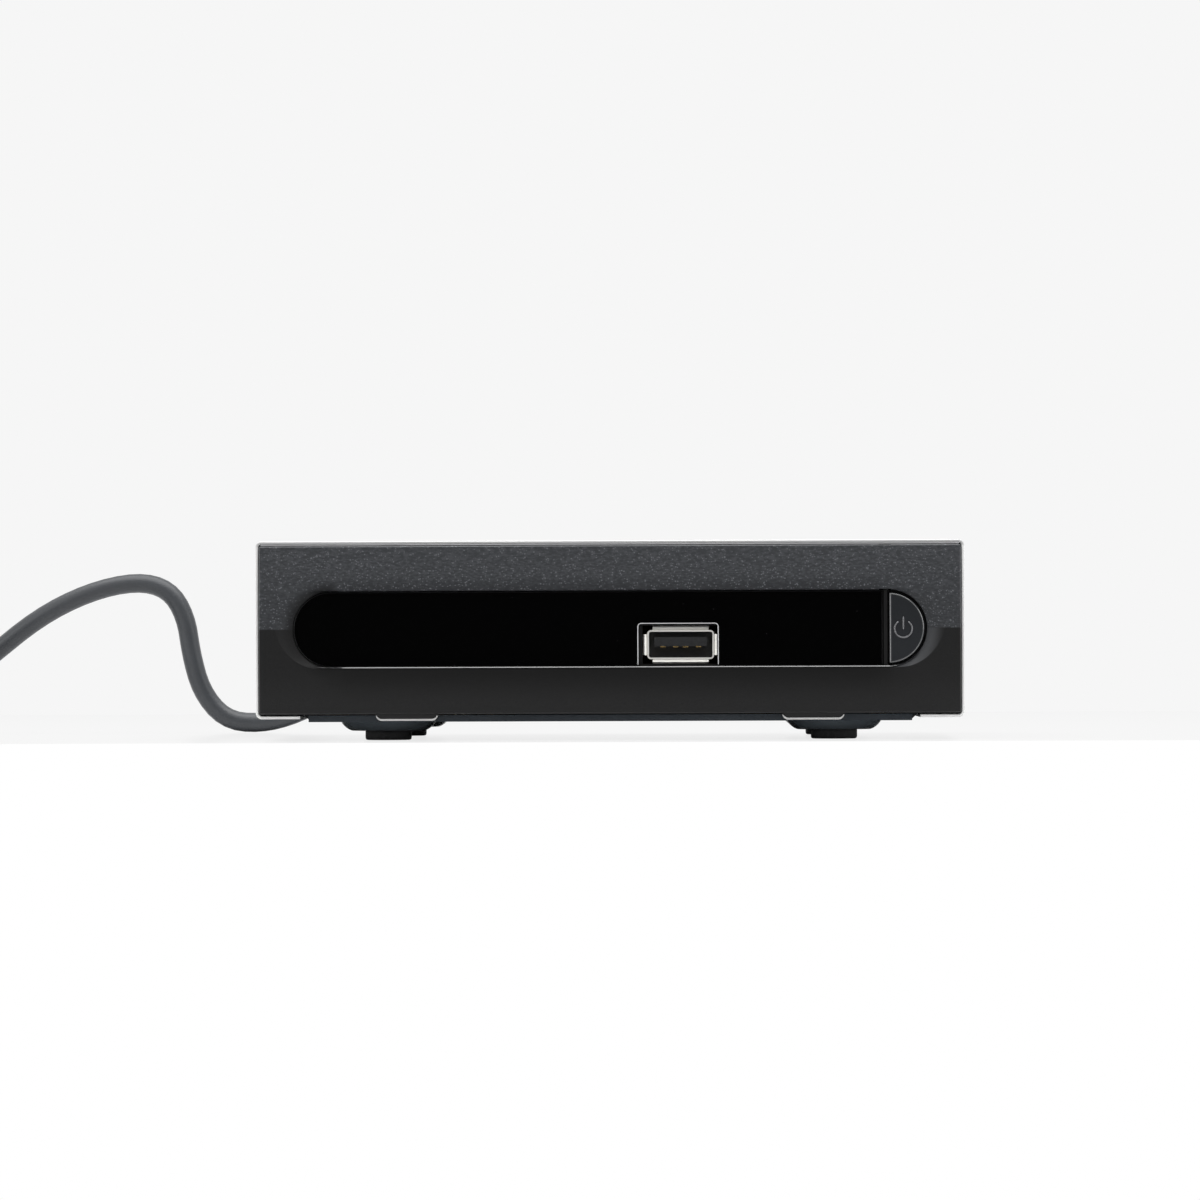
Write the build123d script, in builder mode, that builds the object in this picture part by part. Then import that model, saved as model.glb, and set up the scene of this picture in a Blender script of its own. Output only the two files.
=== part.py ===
from build123d import *
import os
from math import atan2, degrees, dist, radians, tan

os.makedirs("parts", exist_ok=True)

# Whole box. The front faces -Y, Z is up and the table is at Z = 0
case_width = 139.2
case_depth = 105.0
case_top = 39.2
case_bottom = 4.3
sheet = 0.6
sheet_gap = 0.1
aerial_reach = 9.5
front_y = -(case_depth + aerial_reach) / 2
rear_y = front_y + case_depth

# Round sections that repeat inside the box have this many flats
inner_sides = 6
can_sides = 12
round_sides = 24

# Cover
cover_setback = 1.3
cover_bend = 1.2
cover_flange = 8.7
cover_drop = 6.0
cut_edge_chamfer = 0.15
cover_front = front_y + cover_setback
cover_screw_z = 35.8
cover_screw_margin = 14.6
cover_screw_xs = (cover_screw_margin - case_width / 2, 0.0, case_width / 2 - cover_screw_margin)
vent_length = 17.0
vent_width = 2.0
vent_corner = 0.55
vent_pitch = 5.0
vent_count = 9
vent_row_pitch = 24.0
side_vent_count = 6
side_vent_z = 24.0

# Window in the fascia
window_margin = 6.65
window_height = 15.0
window_z = 21.85
window_radius = window_height / 2
scoop_length = 3.3
scoop_depth = 1.3
window_flare = 0.3

# Fascia
fascia_side_gap = 0.05
fascia_top_gap = 0.3
fascia_bottom = 5.2
fascia_depth = 11.0
fascia_wall = 1.6
fascia_face = 3.0
crease_z = 21.8
top_lean = 1.1
bottom_lean = 0.8
fascia_corner = 0.45
fascia_rim = 0.25
fascia_half = case_width / 2 - sheet - fascia_side_gap
fascia_top = case_top - sheet - fascia_top_gap
fascia_back = front_y + fascia_depth
window_length = 2 * (fascia_half - window_margin)
window_end = window_length / 2 - window_radius
lug_margin = 29.05
lug_x = fascia_half - lug_margin
lug_width = 12.2
lug_bottom = 3.9
lug_setback = 0.95
lug_depth = 1.4
lug_round = 0.9
bed_margin = 2.0
bed_thickness = 1.5
rib_inset = 1.1
rib_x = window_end - rib_inset
rib_width = 0.9

# Lens
lens_setback = 1.1
lens_thickness = 1.8
lens_gap = 0.15
lens_edge = 0.2
lens_front = front_y + lens_setback
lens_back = lens_front + lens_thickness
bed_back = lens_back + bed_thickness

# Data port
port_x = 13.9
port_z = 18.7
port_width = 13.1
port_height = 5.7
port_shell = 0.3
port_round = 0.7
port_length = 14.0
port_behind_lens = 0.6
lip_reach = 0.85
lip_width = 11.0
lip_height = 4.1
notch_shift = 0.5
notch_x = port_x - notch_shift
notch_width = 15.6
notch_top = 22.8
notch_round = 0.6
tongue_width = 10.4
tongue_height = 1.8
tongue_top = 20.2
tongue_setback = 1.5
contact_offsets = (-3.5, -1.0, 1.0, 3.5)
contact_width = 1.0
contact_thickness = 0.25
contact_length = 7.0
port_mouth = lens_back + port_behind_lens
port_block = 3.5

# Front board with its switch, receiver and light
front_board_y = port_mouth + port_length
board_thickness = 1.6
stem_offset = 3.4
stem_x = rib_x + rib_width + stem_offset
front_board_left = -6.0
board_past_stem = 7.0
front_board_right = stem_x + board_past_stem
front_board_bottom = 13.0
front_board_top = 35.0
boss_edge = 4.5
boss_to_rib = 6.7
boss_xs = (front_board_left + boss_edge, rib_x - boss_to_rib)
boss_radius = 3.0
boss_bore = 1.1
boss_bore_depth = 8.0
small_screw_radius = 1.05
small_screw_length = 7.0
small_head_radius = 2.2
small_head_height = 1.4
part_spacing = 8.0
light_x = boss_xs[1] - part_spacing
receiver_x = light_x - part_spacing
receiver_window = 3.5
light_radius = 1.5
light_clearance = 0.1

# Power button and its switch
button_gap = 0.6
button_flat_gap = 0.3
button_setback = 0.8
button_travel = 0.35
button_wall = 1.4
button_flange = 1.1
button_flange_thickness = 1.2
button_edge = 0.3
button_rest_gap = 0.05
stem_radius = 2.0
switch_size = 6.0
switch_depth = 3.5
plunger_radius = 1.7
plunger_reach = 1.0
plunger_inside = 0.9
plunger_clearance = 0.1

# Base pan
pan_bottom = 3.7
panel_margin = 10.3
panel_half = case_width / 2 - panel_margin
panel_slope = 1.4
slope_inset = 0.3
pan_side_top = 18.0
pan_setback = 2.6
hem_depth = 4.0
hem_height = 0.7
pan_front_gap = 0.3
pan_bevel = 0.3
rim_bottom = case_bottom + sheet + sheet_gap
pan_half = case_width / 2 - sheet - sheet_gap
pan_front = front_y + pan_setback
pan_body_front = fascia_back + pan_front_gap
pan_floor = pan_bottom + sheet
panel_rear = rear_y - sheet - sheet_gap
panel_inside = panel_rear - sheet
pan_top = case_top - sheet - sheet_gap

# Snaps at the fascia's sides, in windows in the pan's side walls
snap_thickness = 1.3
snap_length = 9.0
snap_root = 2.0
snap_z = 12.0
snap_height = 5.0
barb_reach = 0.55
barb_length = 2.0
barb_end = 2.0
snap_clearance = 0.3

# Feet
foot_margin = 15.1
foot_x = panel_half - foot_margin
foot_inset = 16.5
foot_spacing = 72.0
foot_ys = (front_y + foot_inset, front_y + foot_inset + foot_spacing)
dish_top_radius = 9.25
dish_bottom_radius = 7.4
dish_depth = 1.8
foot_radius = 4.6
foot_stem_radius = 1.5
foot_stem_clearance = 0.1
foot_head_radius = 2.4
foot_head_height = 1.0
dish_bottom = pan_bottom - dish_depth
dish_taper = degrees(atan2(dish_top_radius - dish_bottom_radius, dish_depth))

# Boards and their fixings
standoff_height = 5.0
standoff_radius = 3.0
standoff_sides = 6
board_bottom = pan_floor + standoff_height
board_top = board_bottom + board_thickness
screw_radius = 1.25
screw_clearance = 0.05
board_hole_radius = 1.6
head_radius = 2.7
head_height = 1.7
screw_length = 5.5
power_board_width = 29.0
power_board_past_panel = 0.7
power_board_left = -panel_half - power_board_past_panel
power_board_right = power_board_left + power_board_width
power_board_front = -36.0
board_gap = 3.0
board_to_side = 3.6
main_board_left = power_board_right + board_gap
main_board_right = case_width / 2 - board_to_side
main_board_front = -28.0
board_rear = panel_inside - 0.9
can_right = main_board_right - 1.0
can_width = 24.0
can_left = can_right - can_width
power_fixings = (
    (power_board_left + 4.5, power_board_front + 4.0),
    (power_board_right - 3.5, power_board_front + 4.0),
    (power_board_left + 4.5, 41.5),
    (power_board_right - 3.0, 18.0),
)
main_fixings = (
    (main_board_left + 4.0, main_board_front + 4.0),
    (main_board_right - 11.0, main_board_front + 4.0),
    (main_board_left + 4.0, 26.0),
    (can_left - 11.0, 26.0),
)

# Rear sockets
gland_inset = 7.3
gland_x = gland_inset - panel_half
gland_z = 16.5
av_to_can = 27.0
av_x = can_left - av_to_can
av_width = 47.2
av_height = 15.6
av_cut = 6.0
av_depth = 15.0
av_proud = 1.0
av_shell = 0.4
av_clearance = 0.3
video_to_av = 34.0
video_x = av_x - video_to_av
video_width = 14.8
video_height = 5.4
video_cut = 1.5
video_depth = 11.5
video_proud = 0.4
can_depth = 42.0
can_height = 17.0
can_wall = 0.5
can_rear = panel_inside - 0.5
aerial_z = board_top + 9.0
aerial_in_x = can_right - 5.0
aerial_out_x = can_left + 5.5
aerial_in_radius = 5.5
aerial_collar_radius = 6.0
aerial_in_bore = 4.8
aerial_out_radius = 4.76
aerial_out_bore = 4.1
aerial_hole_clearance = 0.4
centre_tube_radius = 2.0
centre_tube_bore = 1.2
centre_pin_radius = 1.15
centre_setback = 1.5
insulator_length = 4.0

# Mains cord
cord_diameter = 4.2
cord_sides = 6
gland_sides = 12
gland_neck = 4.0
gland_hole_clearance = 0.1
gland_flange_radius = 5.6
gland_flange = 2.0
relief_length = 20.0
relief_root_radius = 4.2
relief_tip_radius = 2.9
relief_grooves = 3
groove_depth = 0.7
relief_end = panel_rear + gland_flange + relief_length
coil_x = -177.2
coil_y = 78.0
coil_radius = 31.0
coil_gap = 0.5
coil_sides = 6
inward_halves = 5
outward_halves = 4
coil_tail = 60.0
tie_thickness = 0.5
tie_gap = 0.1
tie_side_gap = 0.5
tie_width = 5.0
coil_low_z = tie_thickness + tie_gap + cord_diameter / 2
coil_pitch = cord_diameter + coil_gap
coil_high_z = coil_low_z + coil_pitch
cord_floor = cord_diameter / 2 + sheet_gap

# Mains plug
plug_relief_length = 18.0
plug_relief_root = 3.4
plug_length = 22.0
plug_face_width = 35.3
plug_face_height = 13.7
plug_shoulder = 5.0
plug_edge = 1.5
plug_rear_width = 13.0
plug_rear_height = 9.0
plug_pin_radius = 2.0
plug_pin_length = 19.0
plug_pin_spacing = 18.6
plug_pin_chamfer = 0.7


def facing_front(y):
    """A sketch plane at depth y that looks to the front: its x is X and its y is Z."""
    return Plane.XZ.offset(-y)


def level(z):
    """A sketch plane at height z."""
    return Plane.XY.offset(z)


def vent(length):
    """One punched vent: a narrow slot with its corners cut off."""
    with BuildSketch() as slot:
        Rectangle(vent_width, length)
        chamfer(slot.vertices(), vent_corner)
    return slot.sketch


# Top cover: one folded sheet with a rear flange, vents and screw holes
with BuildPart() as top_cover:
    with BuildSketch(facing_front(cover_front)):
        with Locations((0, (case_top + case_bottom) / 2)):
            RectangleRounded(case_width, case_top - case_bottom, cover_bend)
            RectangleRounded(
                case_width - 2 * sheet,
                case_top - case_bottom - 2 * sheet,
                cover_bend - sheet,
                mode=Mode.SUBTRACT,
            )
        with Locations((0, case_bottom)):
            Rectangle(case_width - 2 * cover_flange, 2 * cover_bend, mode=Mode.SUBTRACT)
    extrude(amount=cover_front - rear_y)
    chamfer(top_cover.faces().sort_by(Axis.Y)[0].edges(), cut_edge_chamfer)
    with BuildSketch(facing_front(rear_y)):
        with Locations((0, case_top - sheet / 2)):
            Rectangle(case_width - 2 * cover_bend, cover_drop, align=(Align.CENTER, Align.MAX))
        with Locations(*[(x, cover_screw_z) for x in cover_screw_xs]):
            RegularPolygon(board_hole_radius, inner_sides, mode=Mode.SUBTRACT)
    extrude(amount=sheet)
    with BuildSketch(level(case_top)):
        with Locations((0, rear_y - vent_row_pitch - vent_length / 2)):
            with GridLocations(vent_pitch, vent_row_pitch, vent_count, 2):
                add(vent(vent_length))
    extrude(amount=-2 * sheet, mode=Mode.SUBTRACT)
    with BuildSketch(Plane.YZ.offset(-case_width)):
        with Locations((rear_y - vent_row_pitch, side_vent_z)):
            with GridLocations(vent_pitch, 0, side_vent_count, 1):
                add(vent(vent_length / 2))
    extrude(amount=2 * case_width, mode=Mode.SUBTRACT)
top_cover.part.label = "top_cover"
export_step(top_cover.part, "parts/top_cover.step")

# Base pan: stepped floor, dished foot seats, front hem, side walls and rear panel
with BuildPart() as base_pan:
    with BuildSketch(facing_front(pan_body_front)):
        with BuildLine():
            Polyline(
                (0, pan_floor),
                (0, pan_bottom),
                (panel_half, pan_bottom),
                (panel_half + panel_slope, rim_bottom),
                (pan_half - pan_bevel, rim_bottom),
                (pan_half, rim_bottom + pan_bevel),
                (pan_half, pan_side_top),
                (pan_half - sheet, pan_side_top),
                (pan_half - sheet, rim_bottom + sheet),
                (panel_half + panel_slope - slope_inset, rim_bottom + sheet),
                (panel_half - slope_inset, pan_floor),
                close=True,
            )
        make_face()
        mirror(about=Plane.YZ)
    extrude(amount=pan_body_front - panel_rear)
    with BuildSketch(facing_front(pan_front)):
        with Locations((0, pan_bottom)):
            Rectangle(2 * panel_half, sheet, align=(Align.CENTER, Align.MIN))
    extrude(amount=pan_front - pan_body_front)
    with BuildSketch(facing_front(pan_front)):
        with Locations((0, pan_bottom)):
            Rectangle(2 * panel_half, sheet + hem_height, align=(Align.CENTER, Align.MIN))
    extrude(amount=-hem_depth)
    with BuildSketch(facing_front(panel_rear)):
        with Locations((0, (rim_bottom + pan_top) / 2)):
            RectangleRounded(2 * pan_half, pan_top - rim_bottom, cover_bend - sheet)
        with Locations((0, pan_bottom)):
            Rectangle(2 * panel_half, 2 * sheet + hem_height, align=(Align.CENTER, Align.MIN))
    extrude(amount=sheet)
    for foot_y in foot_ys:
        for side in (-1, 1):
            with BuildSketch(level(pan_bottom)):
                with Locations((side * foot_x, foot_y)):
                    RegularPolygon(dish_top_radius, round_sides)
            extrude(amount=-dish_depth, taper=dish_taper)
            with BuildSketch(level(pan_floor)):
                with Locations((side * foot_x, foot_y)):
                    RegularPolygon(dish_top_radius - slope_inset, can_sides)
            extrude(amount=-dish_depth, taper=dish_taper, mode=Mode.SUBTRACT)
            with BuildSketch(level(dish_bottom)):
                with Locations((side * foot_x, foot_y)):
                    RegularPolygon(foot_stem_radius + foot_stem_clearance, inner_sides)
            extrude(amount=dish_depth, mode=Mode.SUBTRACT)
    with BuildSketch(Plane.YZ.offset(-case_width)):
        with Locations((fascia_back + snap_length - barb_end, snap_z)):
            Rectangle(
                barb_length + 2 * snap_clearance,
                snap_height + 2 * snap_clearance,
                align=(Align.MAX, Align.CENTER),
            )
    extrude(amount=2 * case_width, mode=Mode.SUBTRACT)
    with BuildSketch(facing_front(rear_y)):
        with Locations((gland_x, gland_z)):
            RegularPolygon(gland_neck + gland_hole_clearance, gland_sides)
        with Locations(*[(x, cover_screw_z) for x in cover_screw_xs]):
            RegularPolygon(screw_radius + screw_clearance, inner_sides)
        with Locations((av_x, board_top + av_height / 2)):
            Rectangle(av_width + 2 * av_clearance, av_height + 2 * av_clearance)
        with Locations((video_x, board_top + video_height / 2)):
            Rectangle(video_width + 2 * av_clearance, video_height + 2 * av_clearance)
        with Locations((aerial_in_x, aerial_z), (aerial_out_x, aerial_z)):
            RegularPolygon(aerial_collar_radius + aerial_hole_clearance, round_sides)
    extrude(amount=2 * (sheet + sheet_gap), mode=Mode.SUBTRACT)
base_pan.part.label = "base_pan"
export_step(base_pan.part, "parts/base_pan.step")

# Fascia: creased face, flared window with a scoop at each end, lens bed, bosses, lugs and snaps
with BuildPart() as front_fascia:
    with BuildSketch(Plane.YZ.offset(-fascia_half)):
        with BuildLine():
            Polyline(
                (front_y + top_lean, fascia_top),
                (front_y, crease_z),
                (front_y + bottom_lean, fascia_bottom),
                (fascia_back, fascia_bottom),
                (fascia_back, fascia_top),
                close=True,
            )
        make_face()
    extrude(amount=2 * fascia_half)
    fillet(front_fascia.edges().filter_by(Axis.Y), fascia_corner)
    facets = front_fascia.faces().filter_by(lambda face: face.normal_at().Y < -0.9)
    rim = facets.edges().filter_by(lambda edge: abs(edge.center().Z - crease_z) > fascia_wall)
    chamfer(rim, fascia_rim)
    with BuildSketch(facing_front(fascia_back)):
        with Locations((0, (fascia_top + fascia_bottom) / 2)):
            Rectangle(2 * (fascia_half - fascia_wall), fascia_top - fascia_bottom - 2 * fascia_wall)
    extrude(amount=fascia_depth - fascia_face, mode=Mode.SUBTRACT)
    with BuildSketch(facing_front(bed_back)):
        with Locations((0, window_z)):
            SlotOverall(window_length + 2 * bed_margin, window_height + 2 * bed_margin)
    extrude(amount=bed_back - front_y - fascia_face)
    with BuildSketch(facing_front(lens_back)):
        with Locations((0, window_z)):
            SlotOverall(window_length, window_height)
    extrude(amount=lens_back - front_y, mode=Mode.SUBTRACT)
    with BuildSketch(facing_front(front_y + scoop_depth)):
        with Locations((0, window_z)):
            SlotOverall(window_length, window_height)
    with BuildSketch(facing_front(front_y)):
        with Locations((0, window_z)):
            SlotOverall(window_length + 2 * scoop_length, window_height + 2 * window_flare)
    loft(mode=Mode.SUBTRACT)
    with BuildSketch(facing_front(lens_back)):
        with Locations((rib_x, window_z)):
            Rectangle(rib_width, window_height, align=(Align.MIN, Align.CENTER))
    extrude(amount=lens_thickness)
    with BuildSketch(facing_front(bed_back)):
        with Locations((window_end, window_z)):
            Circle(window_radius)
        with Locations((rib_x + rib_width, window_z)):
            Rectangle(window_height, 2 * window_height, align=(Align.MAX, Align.CENTER), mode=Mode.SUBTRACT)
        with Locations((port_x, port_z)):
            Rectangle(port_width + 2 * lip_reach + lens_gap, port_height + 2 * lip_reach + lens_gap)
        with Locations((receiver_x, window_z)):
            RegularPolygon(receiver_window, inner_sides)
        with Locations((light_x, window_z)):
            RegularPolygon(light_radius + light_clearance, inner_sides)
    extrude(amount=bed_thickness, mode=Mode.SUBTRACT)
    with BuildSketch(facing_front(front_board_y)):
        with Locations(*[(x, window_z) for x in boss_xs]):
            RegularPolygon(boss_radius, inner_sides)
    extrude(amount=front_board_y - bed_back + slope_inset)
    with BuildSketch(facing_front(front_board_y)):
        with Locations(*[(x, window_z) for x in boss_xs]):
            RegularPolygon(boss_bore, inner_sides)
    extrude(amount=boss_bore_depth, mode=Mode.SUBTRACT)
    for side in (-1, 1):
        with BuildSketch(facing_front(front_y + lug_setback + lug_depth)):
            with Locations((side * lug_x, (lug_bottom + fascia_bottom + fascia_wall) / 2)):
                RectangleRounded(lug_width, fascia_bottom + fascia_wall - lug_bottom, lug_round)
        extrude(amount=lug_depth)
        snap_inner = pan_half - sheet - sheet_gap - snap_thickness
        with BuildSketch(facing_front(fascia_back + snap_length)):
            with Locations((side * (snap_inner + snap_thickness / 2), snap_z)):
                Rectangle(snap_thickness, snap_height)
        extrude(amount=snap_length + snap_root)
        with BuildSketch(facing_front(fascia_back + snap_length - barb_end - snap_clearance)):
            with Locations((side * (snap_inner + snap_thickness + barb_reach / 2), snap_z)):
                Rectangle(barb_reach, snap_height)
        extrude(amount=barb_length)
front_fascia.part.label = "front_fascia"
export_step(front_fascia.part, "parts/front_fascia.step")

# Lens: glossy plate with a notch for the data port
with BuildPart() as lens:
    with BuildSketch(facing_front(lens_back)):
        with Locations((0, window_z)):
            SlotOverall(window_length - 2 * lens_gap, window_height - 2 * lens_gap)
        with Locations((rib_x - lens_gap, window_z)):
            Rectangle(window_height, 2 * window_height, align=(Align.MIN, Align.CENTER), mode=Mode.SUBTRACT)
        with Locations((notch_x, notch_top)):
            RectangleRounded(
                notch_width,
                window_height,
                notch_round,
                align=(Align.CENTER, Align.MAX),
                mode=Mode.SUBTRACT,
            )
    extrude(amount=lens_thickness)
    chamfer(lens.faces().sort_by(Axis.Y)[0].edges(), lens_edge)
lens.part.label = "lens"
export_step(lens.part, "parts/lens.step")

# Power button: half-round cap with a retaining flange and a stem
button_front = front_y + button_setback
button_radius = window_radius - button_gap
button_flat = rib_x + rib_width + button_flat_gap
flange_front = bed_back + button_rest_gap
plunger_front = front_board_y - switch_depth - plunger_reach
with BuildPart() as power_button:
    with BuildSketch(facing_front(flange_front)):
        with Locations((window_end, window_z)):
            Circle(button_radius)
        with Locations((button_flat, window_z)):
            Rectangle(window_height, 2 * window_height, align=(Align.MAX, Align.CENTER), mode=Mode.SUBTRACT)
    extrude(amount=flange_front - button_front)
    chamfer(power_button.faces().sort_by(Axis.Y)[0].edges(), button_edge)
    with BuildSketch(facing_front(flange_front + button_flange_thickness)):
        with Locations((window_end, window_z)):
            Circle(window_radius + button_flange)
        with Locations((button_flat - button_flange, window_z)):
            Rectangle(
                2 * window_height,
                2 * window_height,
                align=(Align.MAX, Align.CENTER),
                mode=Mode.SUBTRACT,
            )
    extrude(amount=button_flange_thickness)
    with BuildSketch(facing_front(flange_front + button_flange_thickness)):
        with Locations((window_end, window_z)):
            Circle(button_radius - button_wall)
        with Locations((button_flat + button_wall, window_z)):
            Rectangle(
                2 * window_height,
                2 * window_height,
                align=(Align.MAX, Align.CENTER),
                mode=Mode.SUBTRACT,
            )
    extrude(amount=flange_front + button_flange_thickness - button_front - button_wall, mode=Mode.SUBTRACT)
    with BuildSketch(facing_front(plunger_front - button_rest_gap)):
        with Locations((stem_x, window_z)):
            RegularPolygon(stem_radius, inner_sides)
    extrude(amount=plunger_front - button_rest_gap - button_front - button_wall)
power_button.part.label = "power_button"
export_step(power_button.part, "parts/power_button.step")

# Push switch behind the button
with BuildPart() as switch_body:
    with BuildSketch(facing_front(front_board_y)):
        with Locations((stem_x, window_z)):
            Rectangle(switch_size, switch_size)
    extrude(amount=switch_depth)
    with BuildSketch(facing_front(front_board_y - switch_depth)):
        with Locations((stem_x, window_z)):
            RegularPolygon(plunger_radius + plunger_clearance, inner_sides)
    extrude(amount=-(plunger_inside + button_travel + plunger_clearance), mode=Mode.SUBTRACT)
switch_body.part.label = "switch_body"
export_step(switch_body.part, "parts/switch_body.step")

with BuildPart() as switch_plunger:
    with BuildSketch(facing_front(plunger_front)):
        with Locations((stem_x, window_z)):
            RegularPolygon(plunger_radius, inner_sides)
    extrude(amount=-(plunger_reach + plunger_inside))
switch_plunger.part.label = "switch_plunger"
export_step(switch_plunger.part, "parts/switch_plunger.step")

# Front board, upright behind the fascia, and its two screws
with BuildPart() as front_board:
    with BuildSketch(facing_front(front_board_y)):
        with Locations((front_board_left, front_board_bottom)):
            Rectangle(
                front_board_right - front_board_left,
                front_board_top - front_board_bottom,
                align=(Align.MIN, Align.MIN),
            )
        with Locations(*[(x, window_z) for x in boss_xs]):
            RegularPolygon(board_hole_radius, inner_sides, mode=Mode.SUBTRACT)
    extrude(amount=-board_thickness)
front_board.part.label = "front_board"
export_step(front_board.part, "parts/front_board.step")

with BuildPart() as front_board_screws:
    with BuildSketch(facing_front(front_board_y + board_thickness)):
        with Locations(*[(x, window_z) for x in boss_xs]):
            RegularPolygon(small_head_radius, inner_sides)
    extrude(amount=-small_head_height)
    with BuildSketch(facing_front(front_board_y + board_thickness)):
        with Locations(*[(x, window_z) for x in boss_xs]):
            RegularPolygon(small_screw_radius, inner_sides)
    extrude(amount=small_screw_length)
front_board_screws.part.label = "front_board_screws"
export_step(front_board_screws.part, "parts/front_board_screws.step")

# Data port: folded shell with flared lips, plastic tongue and four contacts
with BuildPart() as data_port_shell:
    with BuildSketch(facing_front(front_board_y)):
        with Locations((port_x, port_z)):
            RectangleRounded(port_width, port_height, port_round)
            RectangleRounded(
                port_width - 2 * port_shell,
                port_height - 2 * port_shell,
                port_round - port_shell,
                mode=Mode.SUBTRACT,
            )
    extrude(amount=port_length)
    for side in (-1, 1):
        edge_z = port_z + side * port_height / 2
        with BuildSketch(Plane.YZ.offset(port_x - lip_width / 2)):
            with BuildLine():
                Polyline(
                    (port_mouth + port_shell, edge_z - side * port_shell / 2),
                    (port_mouth - port_shell, edge_z + side * (lip_reach - port_shell)),
                    (port_mouth - port_shell / 2, edge_z + side * lip_reach),
                    (port_mouth + 2 * port_shell, edge_z - side * port_shell / 2),
                    close=True,
                )
            make_face()
        extrude(amount=lip_width)
        edge_x = port_x + side * port_width / 2
        with BuildSketch(level(port_z - lip_height / 2)):
            with BuildLine():
                Polyline(
                    (edge_x - side * port_shell / 2, port_mouth + port_shell),
                    (edge_x + side * (lip_reach - port_shell), port_mouth - port_shell),
                    (edge_x + side * lip_reach, port_mouth - port_shell / 2),
                    (edge_x - side * port_shell / 2, port_mouth + 2 * port_shell),
                    close=True,
                )
            make_face()
        extrude(amount=lip_height)
data_port_shell.part.label = "data_port_shell"
export_step(data_port_shell.part, "parts/data_port_shell.step")

with BuildPart() as data_port_tongue:
    with BuildSketch(facing_front(front_board_y)):
        with Locations((port_x, port_z)):
            Rectangle(port_width - 2 * port_shell, port_height - 2 * port_shell)
    extrude(amount=port_block)
    chamfer(data_port_tongue.edges().filter_by(Axis.Y), port_round - port_shell)
    with BuildSketch(facing_front(front_board_y)):
        with Locations((port_x, tongue_top)):
            Rectangle(tongue_width, tongue_height, align=(Align.CENTER, Align.MAX))
    extrude(amount=port_length - tongue_setback)
data_port_tongue.part.label = "data_port_tongue"
export_step(data_port_tongue.part, "parts/data_port_tongue.step")

with BuildPart() as data_port_contacts:
    with BuildSketch(facing_front(front_board_y - port_block)):
        with Locations(*[(port_x + offset, tongue_top - tongue_height) for offset in contact_offsets]):
            Rectangle(contact_width, contact_thickness, align=(Align.CENTER, Align.MAX))
    extrude(amount=contact_length)
data_port_contacts.part.label = "data_port_contacts"
export_step(data_port_contacts.part, "parts/data_port_contacts.step")

# Remote receiver on its legs, and the light guide over the standby light
receiver_size = (6.0, 5.0, 4.0)
receiver_dome = 2.2
receiver_legs = (-2.0, 0.0, 2.0)
leg_width = 0.5
receiver_front = bed_back + sheet_gap
with BuildPart() as ir_receiver:
    with BuildSketch(facing_front(receiver_front + receiver_size[2])):
        with Locations((receiver_x, window_z)):
            Rectangle(receiver_size[0], receiver_size[1])
    extrude(amount=receiver_size[2])
    with BuildSketch(facing_front(receiver_front)):
        with Locations((receiver_x, window_z)):
            RegularPolygon(receiver_dome, inner_sides)
    extrude(amount=bed_thickness)
    with BuildSketch(facing_front(front_board_y)):
        with Locations(*[(receiver_x + offset, window_z) for offset in receiver_legs]):
            Rectangle(leg_width, leg_width)
    extrude(amount=front_board_y - receiver_front - receiver_size[2])
ir_receiver.part.label = "ir_receiver"
export_step(ir_receiver.part, "parts/ir_receiver.step")

led_size = (3.0, 2.0, 1.2)
guide_foot_radius = 2.2
guide_foot_length = 1.5
with BuildPart() as status_led:
    with BuildSketch(facing_front(front_board_y)):
        with Locations((light_x, window_z)):
            Rectangle(led_size[0], led_size[1])
    extrude(amount=led_size[2])
status_led.part.label = "status_led"
export_step(status_led.part, "parts/status_led.step")

with BuildPart() as light_guide:
    guide_back = front_board_y - led_size[2] - sheet_gap
    with BuildSketch(facing_front(guide_back)):
        with Locations((light_x, window_z)):
            RegularPolygon(light_radius, inner_sides)
    extrude(amount=guide_back - lens_back - sheet_gap)
    with BuildSketch(facing_front(guide_back)):
        with Locations((light_x, window_z)):
            RegularPolygon(guide_foot_radius, inner_sides)
    extrude(amount=guide_foot_length)
light_guide.part.label = "light_guide"
export_step(light_guide.part, "parts/light_guide.step")

# Rubber feet pushed through the dishes
foot_names = ("foot_front_left", "foot_front_right", "foot_rear_left", "foot_rear_right")
foot_places = [(side * foot_x, y) for y in foot_ys for side in (-1, 1)]
for name, place in zip(foot_names, foot_places):
    with BuildPart() as foot:
        with BuildSketch(level(0)):
            with Locations(place):
                RegularPolygon(foot_radius, round_sides)
        extrude(amount=dish_bottom)
        with BuildSketch(level(dish_bottom)):
            with Locations(place):
                RegularPolygon(foot_stem_radius, inner_sides)
        extrude(amount=sheet)
        with BuildSketch(level(dish_bottom + sheet)):
            with Locations(place):
                RegularPolygon(foot_head_radius, inner_sides)
        extrude(amount=foot_head_height)
    foot.part.label = name
    export_step(foot.part, f"parts/{name}.step")

# Boards on their standoffs, with the screws and the insulating sheet
with BuildPart() as board_standoffs:
    with BuildSketch(level(pan_floor)):
        with Locations(*power_fixings, *main_fixings):
            RegularPolygon(standoff_radius, standoff_sides)
            RegularPolygon(screw_radius + screw_clearance, inner_sides, mode=Mode.SUBTRACT)
    extrude(amount=standoff_height)
board_standoffs.part.label = "board_standoffs"
export_step(board_standoffs.part, "parts/board_standoffs.step")

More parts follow.
